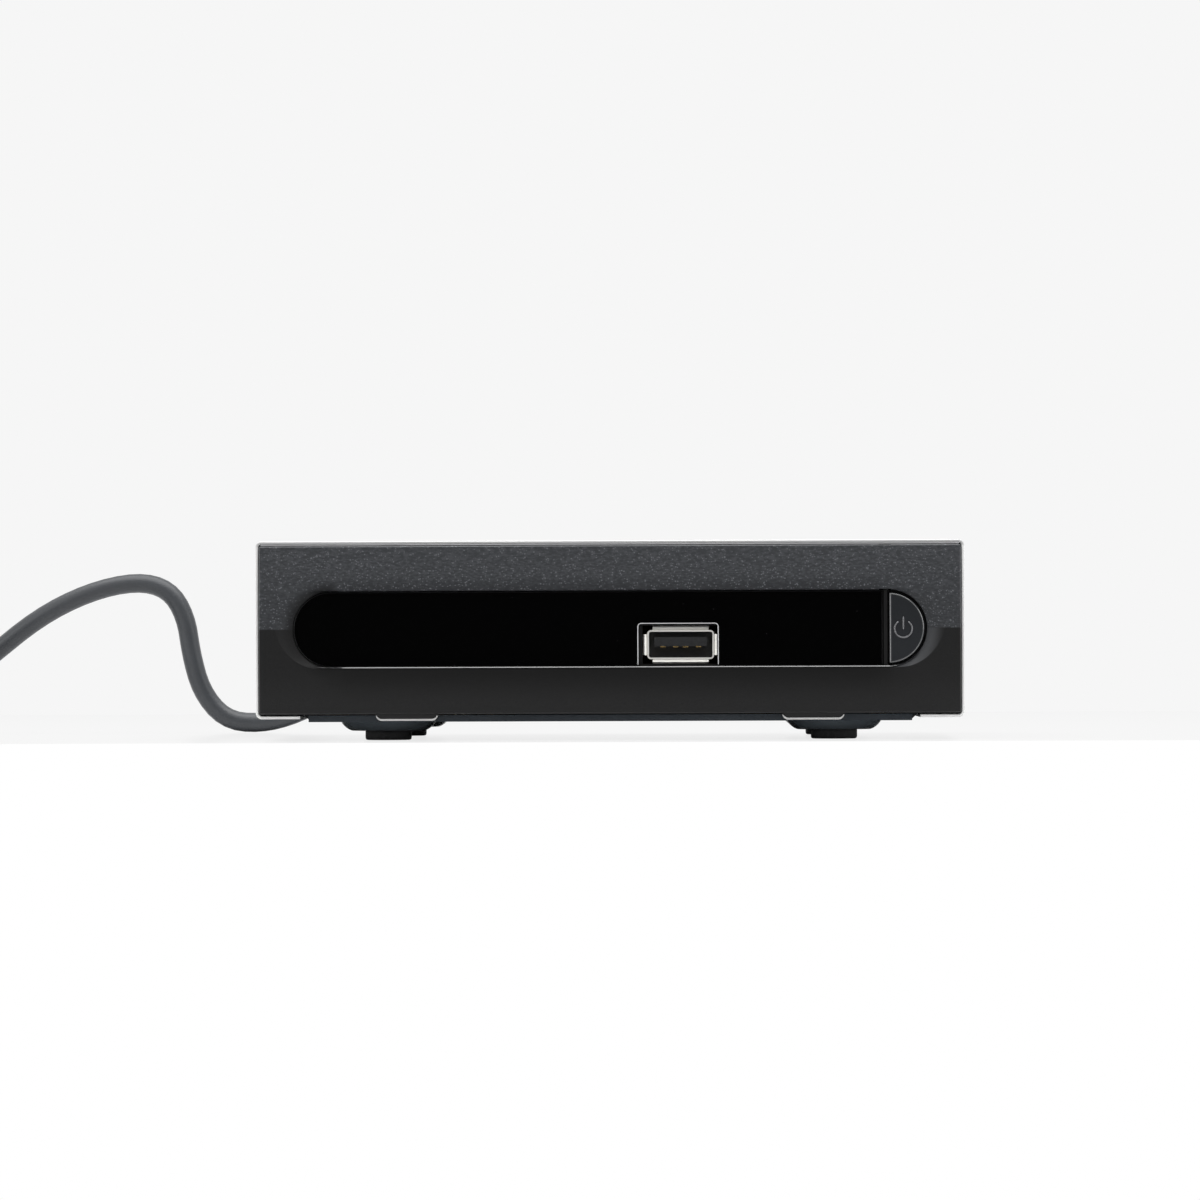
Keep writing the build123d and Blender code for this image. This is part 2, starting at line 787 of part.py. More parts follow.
with BuildPart() as board_screws:
    with BuildSketch(level(board_top)):
        with Locations(*power_fixings, *main_fixings):
            RegularPolygon(head_radius, inner_sides)
    extrude(amount=head_height)
    with BuildSketch(level(board_top)):
        with Locations(*power_fixings, *main_fixings):
            RegularPolygon(screw_radius, inner_sides)
    extrude(amount=-screw_length)
board_screws.part.label = "board_screws"
export_step(board_screws.part, "parts/board_screws.step")

with BuildPart() as main_board:
    with BuildSketch(level(board_bottom)):
        with Locations((main_board_left, main_board_front)):
            Rectangle(
                main_board_right - main_board_left,
                board_rear - main_board_front,
                align=(Align.MIN, Align.MIN),
            )
        with Locations(*main_fixings):
            RegularPolygon(board_hole_radius, inner_sides, mode=Mode.SUBTRACT)
    extrude(amount=board_thickness)
main_board.part.label = "main_board"
export_step(main_board.part, "parts/main_board.step")

with BuildPart() as power_board:
    with BuildSketch(level(board_bottom)):
        with Locations((power_board_left, power_board_front)):
            Rectangle(
                power_board_right - power_board_left,
                board_rear - power_board_front,
                align=(Align.MIN, Align.MIN),
            )
        with Locations(*power_fixings):
            RegularPolygon(board_hole_radius, inner_sides, mode=Mode.SUBTRACT)
    extrude(amount=board_thickness)
power_board.part.label = "power_board"
export_step(power_board.part, "parts/power_board.step")

insulation_margin = 1.5
insulation_thickness = 0.3
insulation_clearance = 0.4
with BuildPart() as insulation_sheet:
    with BuildSketch(level(pan_floor)):
        with Locations((power_board_left + insulation_margin, power_board_front)):
            Rectangle(
                power_board_right - power_board_left - insulation_margin,
                board_rear - power_board_front,
                align=(Align.MIN, Align.MIN),
            )
        with Locations(*power_fixings):
            RegularPolygon(standoff_radius + insulation_clearance, standoff_sides, mode=Mode.SUBTRACT)
    extrude(amount=insulation_thickness)
insulation_sheet.part.label = "insulation_sheet"
export_step(insulation_sheet.part, "parts/insulation_sheet.step")

# Chips, cooler, crystal and capacitors on the main board
chip_x = av_x
chip_y = -2.0
chip_size = 23.0
chip_height = 1.8
cooler_size = 22.0
cooler_height = 8.0
cooler_base = 1.8
fin_count = 6
fin_thickness = 1.2
with BuildPart() as main_chip:
    with BuildSketch(level(board_top)):
        with Locations((chip_x, chip_y)):
            Rectangle(chip_size, chip_size)
    extrude(amount=chip_height)
main_chip.part.label = "main_chip"
export_step(main_chip.part, "parts/main_chip.step")

with BuildPart() as chip_heatsink:
    with BuildSketch(level(board_top + chip_height)):
        with Locations((chip_x, chip_y)):
            Rectangle(cooler_size, cooler_size)
    extrude(amount=cooler_base)
    with BuildSketch(level(board_top + chip_height + cooler_base)):
        with Locations((chip_x, chip_y)):
            with GridLocations((cooler_size - fin_thickness) / (fin_count - 1), 0, fin_count, 1):
                Rectangle(fin_thickness, cooler_size)
    extrude(amount=cooler_height - cooler_base)
chip_heatsink.part.label = "chip_heatsink"
export_step(chip_heatsink.part, "parts/chip_heatsink.step")

memory_x = chip_x + 20.0
memory_pitch = 14.0
memory_size = (12.5, 9.0, 1.1)
with BuildPart() as memory_chips:
    with BuildSketch(level(board_top)):
        with Locations((memory_x, chip_y)):
            with GridLocations(0, memory_pitch, 1, 2):
                Rectangle(memory_size[0], memory_size[1])
    extrude(amount=memory_size[2])
memory_chips.part.label = "memory_chips"
export_step(memory_chips.part, "parts/memory_chips.step")

crystal_place = (chip_x - 6.0, -18.0)
crystal_size = (11.0, 4.6, 3.4)
with BuildPart() as crystal:
    with BuildSketch(level(board_top)):
        with Locations(crystal_place):
            Rectangle(crystal_size[0], crystal_size[1])
    extrude(amount=crystal_size[2])
    chamfer(crystal.edges().filter_by(Axis.Z), crystal_size[1] / 3)
crystal.part.label = "crystal"
export_step(crystal.part, "parts/crystal.step")

small_capacitor_radius = 3.15
small_capacitor_height = 11.0
small_capacitor_places = (
    (main_board_left + 11.0, 8.0),
    (main_board_left + 11.0, 16.0),
    (main_board_left + 11.0, -2.0),
    (can_left + 7.0, -16.0),
)
with BuildPart() as main_capacitors:
    with BuildSketch(level(board_top)):
        with Locations(*small_capacitor_places):
            RegularPolygon(small_capacitor_radius, can_sides)
    extrude(amount=small_capacitor_height)
main_capacitors.part.label = "main_capacitors"
export_step(main_capacitors.part, "parts/main_capacitors.step")

# Tuner can with its lid, and the two aerial sockets on its rear wall
with BuildPart() as tuner_can:
    with BuildSketch(level(board_top)):
        with Locations(((can_left + can_right) / 2, can_rear)):
            Rectangle(can_right - can_left, can_depth, align=(Align.CENTER, Align.MAX))
    extrude(amount=can_height)
    with BuildSketch(level(board_top + can_wall)):
        with Locations(((can_left + can_right) / 2, can_rear - can_wall)):
            Rectangle(
                can_right - can_left - 2 * can_wall,
                can_depth - 2 * can_wall,
                align=(Align.CENTER, Align.MAX),
            )
    extrude(amount=can_height, mode=Mode.SUBTRACT)
tuner_can.part.label = "tuner_can"
export_step(tuner_can.part, "parts/tuner_can.step")

lid_dimple_radius = 2.5
lid_dimple_depth = 0.25
with BuildPart() as tuner_lid:
    with BuildSketch(level(board_top + can_height)):
        with Locations(((can_left + can_right) / 2, can_rear)):
            Rectangle(can_right - can_left, can_depth, align=(Align.CENTER, Align.MAX))
    extrude(amount=can_wall)
    with BuildSketch(level(board_top + can_height + can_wall)):
        with Locations(((can_left + can_right) / 2, can_rear - can_depth / 2)):
            with GridLocations(0, can_depth / 2, 1, 2):
                RegularPolygon(lid_dimple_radius, can_sides)
    extrude(amount=-lid_dimple_depth, mode=Mode.SUBTRACT)
tuner_lid.part.label = "tuner_lid"
export_step(tuner_lid.part, "parts/tuner_lid.step")

sleeve_end = rear_y + aerial_reach
for name, x, outer, bore in (
    ("aerial_in_sleeve", aerial_in_x, aerial_in_radius, aerial_in_bore),
    ("aerial_out_sleeve", aerial_out_x, aerial_out_radius, aerial_out_bore),
):
    with BuildPart() as sleeve:
        with BuildSketch(facing_front(can_rear)):
            with Locations((x, aerial_z)):
                RegularPolygon(aerial_collar_radius, round_sides)
        extrude(amount=can_rear - rear_y)
        with BuildSketch(facing_front(rear_y)):
            with Locations((x, aerial_z)):
                Circle(outer)
        extrude(amount=-aerial_reach)
        with BuildSketch(facing_front(can_rear)):
            with Locations((x, aerial_z)):
                RegularPolygon(bore, can_sides)
        extrude(amount=can_rear - sleeve_end, mode=Mode.SUBTRACT)
    sleeve.part.label = name
    export_step(sleeve.part, f"parts/{name}.step")

with BuildPart() as aerial_contacts:
    with BuildSketch(facing_front(can_rear)):
        with Locations((aerial_in_x, aerial_z)):
            RegularPolygon(centre_tube_radius, can_sides)
            RegularPolygon(centre_tube_bore, can_sides, mode=Mode.SUBTRACT)
        with Locations((aerial_out_x, aerial_z)):
            RegularPolygon(centre_pin_radius, can_sides)
    extrude(amount=can_rear - sleeve_end + centre_setback)
aerial_contacts.part.label = "aerial_contacts"
export_step(aerial_contacts.part, "parts/aerial_contacts.step")

with BuildPart() as aerial_insulators:
    with BuildSketch(facing_front(can_rear)):
        with Locations((aerial_in_x, aerial_z)):
            RegularPolygon(aerial_in_bore, can_sides)
            RegularPolygon(centre_tube_radius, can_sides, mode=Mode.SUBTRACT)
        with Locations((aerial_out_x, aerial_z)):
            RegularPolygon(aerial_out_bore, can_sides)
            RegularPolygon(centre_pin_radius, can_sides, mode=Mode.SUBTRACT)
    extrude(amount=-insulator_length)
aerial_insulators.part.label = "aerial_insulators"
export_step(aerial_insulators.part, "parts/aerial_insulators.step")


def av_outline(shrink):
    """Points of the AV socket's outline, a rectangle with one lower corner cut off."""
    half = av_width / 2 - shrink
    low = board_top + shrink
    high = board_top + av_height - shrink
    return [
        (av_x - half, high),
        (av_x - half, low),
        (av_x + half - av_cut, low),
        (av_x + half, low + av_cut),
        (av_x + half, high),
    ]


# AV socket: metal shroud and plastic body with two rows of blade slots
av_front = panel_rear + sheet + av_proud
av_rear = av_front - av_depth
av_block = 4.5
av_insert = 3.2
blade_pitch = 3.81
blade_count = 10
blade_slot = (0.9, 3.0)
blade_depth = 6.0
blade_row = 2.1
with BuildPart() as av_socket_shell:
    with BuildSketch(facing_front(av_rear)):
        with BuildLine():
            Polyline(*av_outline(0), close=True)
        make_face()
        with BuildLine():
            Polyline(*av_outline(av_shell), close=True)
        make_face(mode=Mode.SUBTRACT)
    extrude(amount=-av_depth)
av_socket_shell.part.label = "av_socket_shell"
export_step(av_socket_shell.part, "parts/av_socket_shell.step")

with BuildPart() as av_socket_body:
    with BuildSketch(facing_front(av_rear)):
        with BuildLine():
            Polyline(*av_outline(av_shell), close=True)
        make_face()
    extrude(amount=-av_block)
    with BuildSketch(facing_front(av_rear)):
        with BuildLine():
            Polyline(*av_outline(av_insert), close=True)
        make_face()
    extrude(amount=-(av_depth - av_proud))
    with BuildSketch(facing_front(av_front - av_proud)):
        with Locations((av_x - blade_pitch / 2, board_top + av_height / 2)):
            with GridLocations(blade_pitch, 2 * blade_row, blade_count, 2):
                Rectangle(blade_slot[0], blade_slot[1])
    extrude(amount=blade_depth, mode=Mode.SUBTRACT)
av_socket_body.part.label = "av_socket_body"
export_step(av_socket_body.part, "parts/av_socket_body.step")


def video_outline(shrink):
    """Points of the video port's outline, with both lower corners cut off."""
    half = video_width / 2 - shrink
    low = board_top + shrink
    high = board_top + video_height - shrink
    return [
        (video_x - half, high),
        (video_x - half, low + video_cut),
        (video_x - half + video_cut, low),
        (video_x + half - video_cut, low),
        (video_x + half, low + video_cut),
        (video_x + half, high),
    ]


# Digital video port: folded shell and its tongue
video_front = panel_rear + video_proud
video_shell = 0.3
video_block = 3.0
video_tongue = (11.6, 1.2)
video_tongue_setback = 1.5
with BuildPart() as video_port_shell:
    with BuildSketch(facing_front(video_front - video_depth)):
        with BuildLine():
            Polyline(*video_outline(0), close=True)
        make_face()
        with BuildLine():
            Polyline(*video_outline(video_shell), close=True)
        make_face(mode=Mode.SUBTRACT)
    extrude(amount=-video_depth)
video_port_shell.part.label = "video_port_shell"
export_step(video_port_shell.part, "parts/video_port_shell.step")

with BuildPart() as video_port_tongue:
    with BuildSketch(facing_front(video_front - video_depth)):
        with BuildLine():
            Polyline(*video_outline(video_shell), close=True)
        make_face()
    extrude(amount=-video_block)
    with BuildSketch(facing_front(video_front - video_depth)):
        with Locations((video_x, board_top + video_height / 2)):
            Rectangle(*video_tongue)
    extrude(amount=video_tongue_setback - video_depth)
video_port_tongue.part.label = "video_port_tongue"
export_step(video_port_tongue.part, "parts/video_port_tongue.step")

# Power board: transformer, capacitors, heatsink with its transistor, fuse and choke
transformer_place = (power_board_left + 14.5, -1.0)
core_size = (20.0, 18.0, 15.0)
core_limb = 4.0
winding_gap = 0.3
with BuildPart() as transformer_core:
    with BuildSketch(facing_front(transformer_place[1])):
        with Locations((transformer_place[0], board_top)):
            Rectangle(core_size[0], core_size[2], align=(Align.CENTER, Align.MIN))
        with Locations((transformer_place[0], board_top + core_size[2] / 2)):
            with GridLocations((core_size[0] - core_limb) / 2, 0, 2, 1):
                Rectangle(
                    (core_size[0] - 3 * core_limb) / 2,
                    core_size[2] - 2 * core_limb,
                    mode=Mode.SUBTRACT,
                )
    extrude(amount=core_limb, both=True)
transformer_core.part.label = "transformer_core"
export_step(transformer_core.part, "parts/transformer_core.step")

with BuildPart() as transformer_winding:
    with BuildSketch(level(board_top + core_limb + winding_gap)):
        with Locations(transformer_place):
            Rectangle(core_size[0] - 2 * core_limb - 2 * winding_gap, core_size[1])
            Rectangle(
                core_limb + 2 * winding_gap,
                2 * core_limb + 2 * winding_gap,
                mode=Mode.SUBTRACT,
            )
    extrude(amount=core_size[2] - 2 * core_limb - 2 * winding_gap)
transformer_winding.part.label = "transformer_winding"
export_step(transformer_winding.part, "parts/transformer_winding.step")

bulk_place = (power_board_left + 8.0, 20.0)
bulk_radius = 6.25
bulk_height = 21.0
can_crimp = 0.8
with BuildPart() as bulk_capacitor:
    with BuildSketch(level(board_top)):
        with Locations(bulk_place):
            RegularPolygon(bulk_radius, can_sides)
    extrude(amount=bulk_height)
    chamfer(bulk_capacitor.faces().sort_by(Axis.Z)[-1].edges(), can_crimp)
bulk_capacitor.part.label = "bulk_capacitor"
export_step(bulk_capacitor.part, "parts/bulk_capacitor.step")

output_radius = 4.0
output_height = 14.0
output_places = (
    (power_board_left + 8.0, -20.0),
    (power_board_left + 17.0, -20.0),
    (power_board_left + 17.0, -29.0),
)
with BuildPart() as output_capacitors:
    with BuildSketch(level(board_top)):
        with Locations(*output_places):
            RegularPolygon(output_radius, can_sides)
    extrude(amount=output_height)
output_capacitors.part.label = "output_capacitors"
export_step(output_capacitors.part, "parts/output_capacitors.step")

sink_place = (power_board_left + 20.5, 18.0)
sink_size = (2.0, 18.0, 20.0)
sink_fin = 3.0
transistor_size = (4.4, 10.0, 15.0)
with BuildPart() as power_heatsink:
    with BuildSketch(level(board_top)):
        with Locations(sink_place):
            Rectangle(sink_size[0], sink_size[1])
            with GridLocations(0, sink_size[1] - sink_size[0] / 2, 1, 2):
                Rectangle(sink_size[0] / 2 + sink_fin, sink_size[0] / 2, align=(Align.MIN, Align.CENTER))
    extrude(amount=sink_size[2])
power_heatsink.part.label = "power_heatsink"
export_step(power_heatsink.part, "parts/power_heatsink.step")

with BuildPart() as power_transistor:
    with BuildSketch(level(board_top)):
        with Locations((sink_place[0] - sink_size[0] / 2, sink_place[1])):
            Rectangle(transistor_size[0], transistor_size[1], align=(Align.MAX, Align.CENTER))
    extrude(amount=transistor_size[2])
power_transistor.part.label = "power_transistor"
export_step(power_transistor.part, "parts/power_transistor.step")

fuse_place = (power_board_left + 4.5, 33.0)
fuse_radius = 2.6
fuse_length = 8.0
with BuildPart() as fuse:
    with BuildSketch(level(board_top)):
        with Locations(fuse_place):
            RegularPolygon(fuse_radius, can_sides)
    extrude(amount=fuse_length)
fuse.part.label = "fuse"
export_step(fuse.part, "parts/fuse.step")

choke_place = (power_board_left + 15.5, 31.0)
choke_size = (9.0, 6.0, 12.0)
choke_window = (4.0, 7.0)
with BuildPart() as line_choke:
    with BuildSketch(facing_front(choke_place[1])):
        with Locations((choke_place[0], board_top)):
            Rectangle(choke_size[0], choke_size[2], align=(Align.CENTER, Align.MIN))
        with Locations((choke_place[0], board_top + choke_size[2] / 2)):
            Rectangle(*choke_window, mode=Mode.SUBTRACT)
    extrude(amount=choke_size[1] / 2, both=True)
line_choke.part.label = "line_choke"
export_step(line_choke.part, "parts/line_choke.step")

# Harness between the boards, and the flat ribbon to the front board
plug_size = (5.0, 13.0, 6.0)
harness_y = -12.0
power_connector_x = power_board_right - 3.5
main_connector_x = main_board_left + 3.5
harness_width = 10.0
harness_thickness = 1.2
harness_rise = 5.0
harness_bend = 3.0
connector_top = board_top + plug_size[2]
harness_top = connector_top + harness_rise + harness_bend
for name, x in (("power_connector", power_connector_x), ("main_connector", main_connector_x)):
    with BuildPart() as connector:
        with BuildSketch(level(board_top)):
            with Locations((x, harness_y)):
                Rectangle(plug_size[0], plug_size[1])
        extrude(amount=plug_size[2])
    connector.part.label = name
    export_step(connector.part, f"parts/{name}.step")

with BuildPart() as board_harness:
    with BuildSketch(facing_front(harness_y - harness_width / 2)):
        for reach, mode in ((harness_thickness / 2, Mode.ADD), (-harness_thickness / 2, Mode.SUBTRACT)):
            with BuildLine():
                Polyline(
                    (power_connector_x - reach, connector_top),
                    (power_connector_x - reach, connector_top + harness_rise),
                    (power_connector_x + harness_bend - reach / 2, harness_top + reach),
                    (main_connector_x - harness_bend + reach / 2, harness_top + reach),
                    (main_connector_x + reach, connector_top + harness_rise),
                    (main_connector_x + reach, connector_top),
                    close=True,
                )
            make_face(mode=mode)
    extrude(amount=-harness_width)
board_harness.part.label = "board_harness"
export_step(board_harness.part, "parts/board_harness.step")

ribbon_x = chip_x + 16.0
ribbon_width = 8.0
ribbon_thickness = 0.3
ribbon_back = front_board_y + board_thickness
ribbon_land_y = main_board_front + 3.0
ribbon_land = 5.0
with BuildPart() as front_ribbon:
    with BuildSketch(Plane.YZ.offset(ribbon_x - ribbon_width / 2)):
        with BuildLine():
            Polyline(
                (ribbon_back, board_top + 2 * ribbon_land),
                (ribbon_back, board_top + ribbon_land),
                (ribbon_land_y, board_top),
                (ribbon_land_y + ribbon_land, board_top),
                (ribbon_land_y + ribbon_land, board_top + ribbon_thickness),
                (ribbon_land_y, board_top + ribbon_thickness),
                (ribbon_back + ribbon_thickness, board_top + ribbon_land),
                (ribbon_back + ribbon_thickness, board_top + 2 * ribbon_land),
                close=True,
            )
        make_face()
    extrude(amount=ribbon_width)
front_ribbon.part.label = "front_ribbon"
export_step(front_ribbon.part, "parts/front_ribbon.step")

# Screws that hold the cover to the rear panel
cover_head_radius = 2.8
cover_head_height = 1.8
cover_screw_length = 6.0
with BuildPart() as cover_screws:
    with BuildSketch(facing_front(rear_y)):
        with Locations(*[(x, cover_screw_z) for x in cover_screw_xs]):
            RegularPolygon(cover_head_radius, can_sides)
    extrude(amount=-cover_head_height)
    with BuildSketch(facing_front(rear_y)):
        with Locations(*[(x, cover_screw_z) for x in cover_screw_xs]):
            RegularPolygon(screw_radius, inner_sides)
    extrude(amount=cover_screw_length)
cover_screws.part.label = "cover_screws"
export_step(cover_screws.part, "parts/cover_screws.step")

# Cord gland: clipped into the rear panel, with a grooved taper behind it
gland_steps = [
    (panel_inside - gland_flange - sheet_gap, panel_inside - sheet_gap, gland_flange_radius - sheet),
    (panel_inside - sheet_gap, panel_rear + sheet_gap, gland_neck),
    (panel_rear + sheet_gap, panel_rear + gland_flange, gland_flange_radius),
]
groove_count = 2 * relief_grooves + 1
for step in range(groove_count):
    ring_start = panel_rear + gland_flange + step * relief_length / groove_count
    ring_radius = relief_root_radius + step / groove_count * (relief_tip_radius - relief_root_radius)
    ring_radius = ring_radius - (step % 2) * groove_depth
    gland_steps = gland_steps + [(ring_start, ring_start + relief_length / groove_count, ring_radius)]
with BuildPart() as cord_gland:
    for step_start, step_end, radius in gland_steps:
        with BuildSketch(facing_front(step_end)):
            with Locations((gland_x, gland_z)):
                RegularPolygon(radius, gland_sides)
        extrude(amount=step_end - step_start)
cord_gland.part.label = "cord_gland"
export_step(cord_gland.part, "parts/cord_gland.step")

# Mains leads from the gland down to the power board
lead_radius = 0.9
lead_spread = 1.3
lead_run = 10.5
lead_bend = 2.5
with BuildPart() as mains_leads:
    for side in (-1, 1):
        lead_x = gland_x + side * lead_spread
        lead_start = panel_inside - gland_flange - sheet_gap
        with BuildLine():
            Polyline(
                (lead_x, lead_start, gland_z),
                (lead_x, lead_start - lead_run + 2 * lead_bend, gland_z),
                (lead_x, lead_start - lead_run + lead_bend, gland_z - lead_bend),
                (lead_x, lead_start - lead_run + lead_bend, board_top),
            )
        with BuildSketch(facing_front(lead_start)):
            with Locations((lead_x, gland_z)):
                RegularPolygon(lead_radius, cord_sides)
        sweep(transition=Transition.RIGHT)
mains_leads.part.label = "mains_leads"
export_step(mains_leads.part, "parts/mains_leads.step")

# Mains cord: out of the gland, down to the table, up in a hump and down again to the coil
coil_start_y = coil_y + coil_radius
cord_route = [
    Vector(gland_x, relief_end, gland_z),
    Vector(gland_x, relief_end + 8.5, gland_z),
    Vector(-54.5, 86.0, 14.6),
    Vector(-61.0, 91.5, 9.6),
    Vector(-69.5, 93.6, 4.4),
    Vector(-78.0, 94.0, 2.0),
    Vector(-86.0, 94.2, 2.7),
    Vector(-91.3, 94.4, 8.8),
    Vector(-93.6, 94.6, 17.0),
    Vector(-94.7, 94.9, 25.2),
    Vector(-98.3, 95.5, 31.3),
    Vector(-105.2, 96.8, 33.3),
    Vector(-116.0, 99.1, 31.1),
    Vector(-127.5, 101.7, 25.6),
    Vector(-139.0, 104.3, 16.5),
    Vector(-150.0, 106.8, 8.0),
    Vector(-161.0, coil_start_y, coil_low_z),
    Vector(coil_x + cord_diameter, coil_start_y, coil_low_z),
]


def corner_radius(before, corner, after):
    """The largest arc that the two runs at a corner of the cord allow."""
    arriving = corner - before
    leaving = after - corner
    half_turn = radians(arriving.get_angle(leaving) / 2)
    return 0.45 * min(arriving.length, leaving.length) / tan(half_turn)


cord_radii = [corner_radius(*corner) for corner in zip(cord_route, cord_route[1:], cord_route[2:])]
print("cord radii", [round(radius, 1) for radius in cord_radii])
with BuildPart() as mains_cord:
    with BuildLine() as cord_path:
        FilletPolyline(*cord_route, radius=cord_radii)
    with BuildSketch(Plane(origin=cord_route[0], x_dir=(1, 0, 0), z_dir=(0, 1, 0))):
        RegularPolygon(cord_diameter / 2, cord_sides)
    sweep()
cord_wire = cord_path.wire()
print("cord free length", round(cord_wire.length, 1), "volume", round(mains_cord.part.volume, 1))
print("cord lowest", round(cord_wire.bounding_box().min.Z - cord_diameter / 2, 2))
mains_cord.part.label = "mains_cord"
export_step(mains_cord.part, "parts/mains_cord.step")

# Put-away coil: spirals in on the lower layer, climbs in half a turn and spirals out on the upper
coil_points = [Vector(coil_x + cord_diameter, coil_start_y, coil_low_z)]
heading = Vector(-1, 0, 0)
with BuildPart() as mains_coil:
    with BuildLine() as coil_path:
        here = Vector(coil_x, coil_start_y, coil_low_z)
        Line(coil_points[0], here)
        for half in range(inward_halves + 1 + outward_halves):
            steps_in = min(half, 2 * inward_halves - half)
            across = Vector(0, 2 * (coil_radius - steps_in * coil_pitch / 2), 0) * (1 if half % 2 else -1)
            if half == inward_halves:
                across = across + Vector(0, 0, coil_pitch)
                middle = here + across / 2 + heading * (across.length / 2)
                TangentArc(here, middle, tangent=heading)
                TangentArc(middle, here + across, tangent=across)
            else:
                TangentArc(here, here + across, tangent=heading)
            here = here + across
            heading = heading * -1
        quarter_end = here + Vector(-coil_radius, -coil_radius, 0)
        TangentArc(here, quarter_end, tangent=heading)
        tail_end = quarter_end + Vector(0, -coil_tail, 0)
        Line(quarter_end, tail_end)
    with BuildSketch(Plane(origin=coil_points[0], x_dir=(0, 1, 0), z_dir=(-1, 0, 0))):
        RegularPolygon(cord_diameter / 2, coil_sides)
    sweep()
mains_coil.part.label = "mains_coil"
export_step(mains_coil.part, "parts/mains_coil.step")

coil_samples = 1200
coil_length = coil_path.wire().length
sample_step = coil_length / coil_samples
half_loop = int(coil_radius * 2 / sample_step)
samples = [tuple(coil_path.wire().position_at(i / coil_samples)) for i in range(coil_samples + 1)]
least = min(
    dist(samples[i], samples[j])
    for i in range(len(samples))
    for j in range(i + half_loop, len(samples))
)
print("coil length", round(coil_length, 1), "least gap", round(least - cord_diameter, 2))

def band(width, height, corner):
    """The outline of a flat band's loop, with its corners cut off."""
    with BuildSketch() as outline:
        Rectangle(width, height)
        chamfer(outline.vertices(), corner)
    return outline.sketch


# Tie round the coil's right side
tie_reach = cord_diameter / 2 + tie_side_gap
tie_left = coil_x + coil_radius - inward_halves * coil_pitch / 2 - tie_reach
tie_right = coil_x + coil_radius - coil_pitch / 2 + tie_reach
tie_top = coil_high_z + cord_diameter / 2 + tie_gap
with BuildPart() as coil_tie:
    with BuildSketch(facing_front(coil_y - coil_pitch / 2)):
        with Locations(((tie_left + tie_right) / 2, (tie_thickness + tie_top) / 2)):
            add(band(tie_right - tie_left + 2 * tie_thickness, tie_top + tie_thickness, cord_diameter / 2))
            add(
                band(tie_right - tie_left, tie_top - tie_thickness, cord_diameter / 2 - tie_thickness / 2),
                mode=Mode.SUBTRACT,
            )
    extrude(amount=tie_width / 2, both=True)
coil_tie.part.label = "coil_tie"
export_step(coil_tie.part, "parts/coil_tie.step")

# Two-pin mains plug at the end of the tail, lying beside the coil
plug_x = tail_end.X
relief_start = tail_end.Y
plug_back = relief_start - plug_relief_length
plug_face = plug_back - plug_length
with BuildPart() as plug_relief:
    with BuildSketch(facing_front(plug_back)):
        with Locations((plug_x, coil_high_z)):
            RegularPolygon(plug_relief_root, gland_sides)
    tip_inset = plug_relief_root - cord_diameter / 2 - sheet
    extrude(amount=-plug_relief_length, taper=degrees(atan2(tip_inset, plug_relief_length)))
plug_relief.part.label = "plug_relief"
export_step(plug_relief.part, "parts/plug_relief.step")

with BuildPart() as plug_body:
    with BuildSketch(level(coil_high_z - plug_face_height / 2)):
        with BuildLine():
            Polyline(
                (plug_x - plug_face_width / 2, plug_face),
                (plug_x - plug_face_width / 2, plug_face + plug_shoulder),
                (plug_x - plug_rear_width / 2, plug_back),
                (plug_x + plug_rear_width / 2, plug_back),
                (plug_x + plug_face_width / 2, plug_face + plug_shoulder),
                (plug_x + plug_face_width / 2, plug_face),
                close=True,
            )
        make_face()
    extrude(amount=plug_face_height)
    chamfer(plug_body.edges().filter_by(Axis.Z), plug_edge)
    with BuildSketch(Plane.YZ.offset(plug_x - plug_face_width)):
        with BuildLine():
            Polyline(
                (plug_face, coil_high_z - plug_face_height / 2),
                (plug_face + plug_shoulder, coil_high_z - plug_face_height / 2),
                (plug_back, coil_high_z - plug_rear_height / 2),
                (plug_back, coil_high_z + plug_rear_height / 2),
                (plug_face + plug_shoulder, coil_high_z + plug_face_height / 2),
                (plug_face, coil_high_z + plug_face_height / 2),
                close=True,
            )
        make_face()
    extrude(amount=2 * plug_face_width, mode=Mode.INTERSECT)
plug_body.part.label = "plug_body"
export_step(plug_body.part, "parts/plug_body.step")

with BuildPart() as plug_pins:
    with BuildSketch(facing_front(plug_face)):
        with Locations((plug_x, coil_high_z)):
            with GridLocations(plug_pin_spacing, 0, 2, 1):
                RegularPolygon(plug_pin_radius, can_sides)
    extrude(amount=plug_pin_length)
    chamfer(plug_pins.faces().sort_by(Axis.Y)[:2].edges(), plug_pin_chamfer)
plug_pins.part.label = "plug_pins"
export_step(plug_pins.part, "parts/plug_pins.step")
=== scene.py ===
from math import radians

import bmesh
import bpy
import numpy as np
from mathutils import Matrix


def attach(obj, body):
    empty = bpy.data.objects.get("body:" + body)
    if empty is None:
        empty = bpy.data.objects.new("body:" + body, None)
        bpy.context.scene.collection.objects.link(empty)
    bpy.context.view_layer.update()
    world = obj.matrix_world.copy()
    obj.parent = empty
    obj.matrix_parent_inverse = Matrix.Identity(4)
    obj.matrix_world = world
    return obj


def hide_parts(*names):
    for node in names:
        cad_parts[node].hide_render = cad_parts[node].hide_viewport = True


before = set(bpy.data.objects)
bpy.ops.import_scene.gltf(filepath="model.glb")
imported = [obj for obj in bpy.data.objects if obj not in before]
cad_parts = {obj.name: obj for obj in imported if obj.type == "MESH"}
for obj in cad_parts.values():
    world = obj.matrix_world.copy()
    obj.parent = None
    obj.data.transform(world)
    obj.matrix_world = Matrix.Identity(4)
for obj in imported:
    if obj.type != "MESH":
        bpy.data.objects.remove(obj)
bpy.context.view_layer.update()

# The box stands on a white table and is looked at almost level, from a little to the right of head on,
# through a long lens about 1.3 m away.
camera = bpy.data.objects.new("camera", bpy.data.cameras.new("camera"))
camera.data.lens = 205
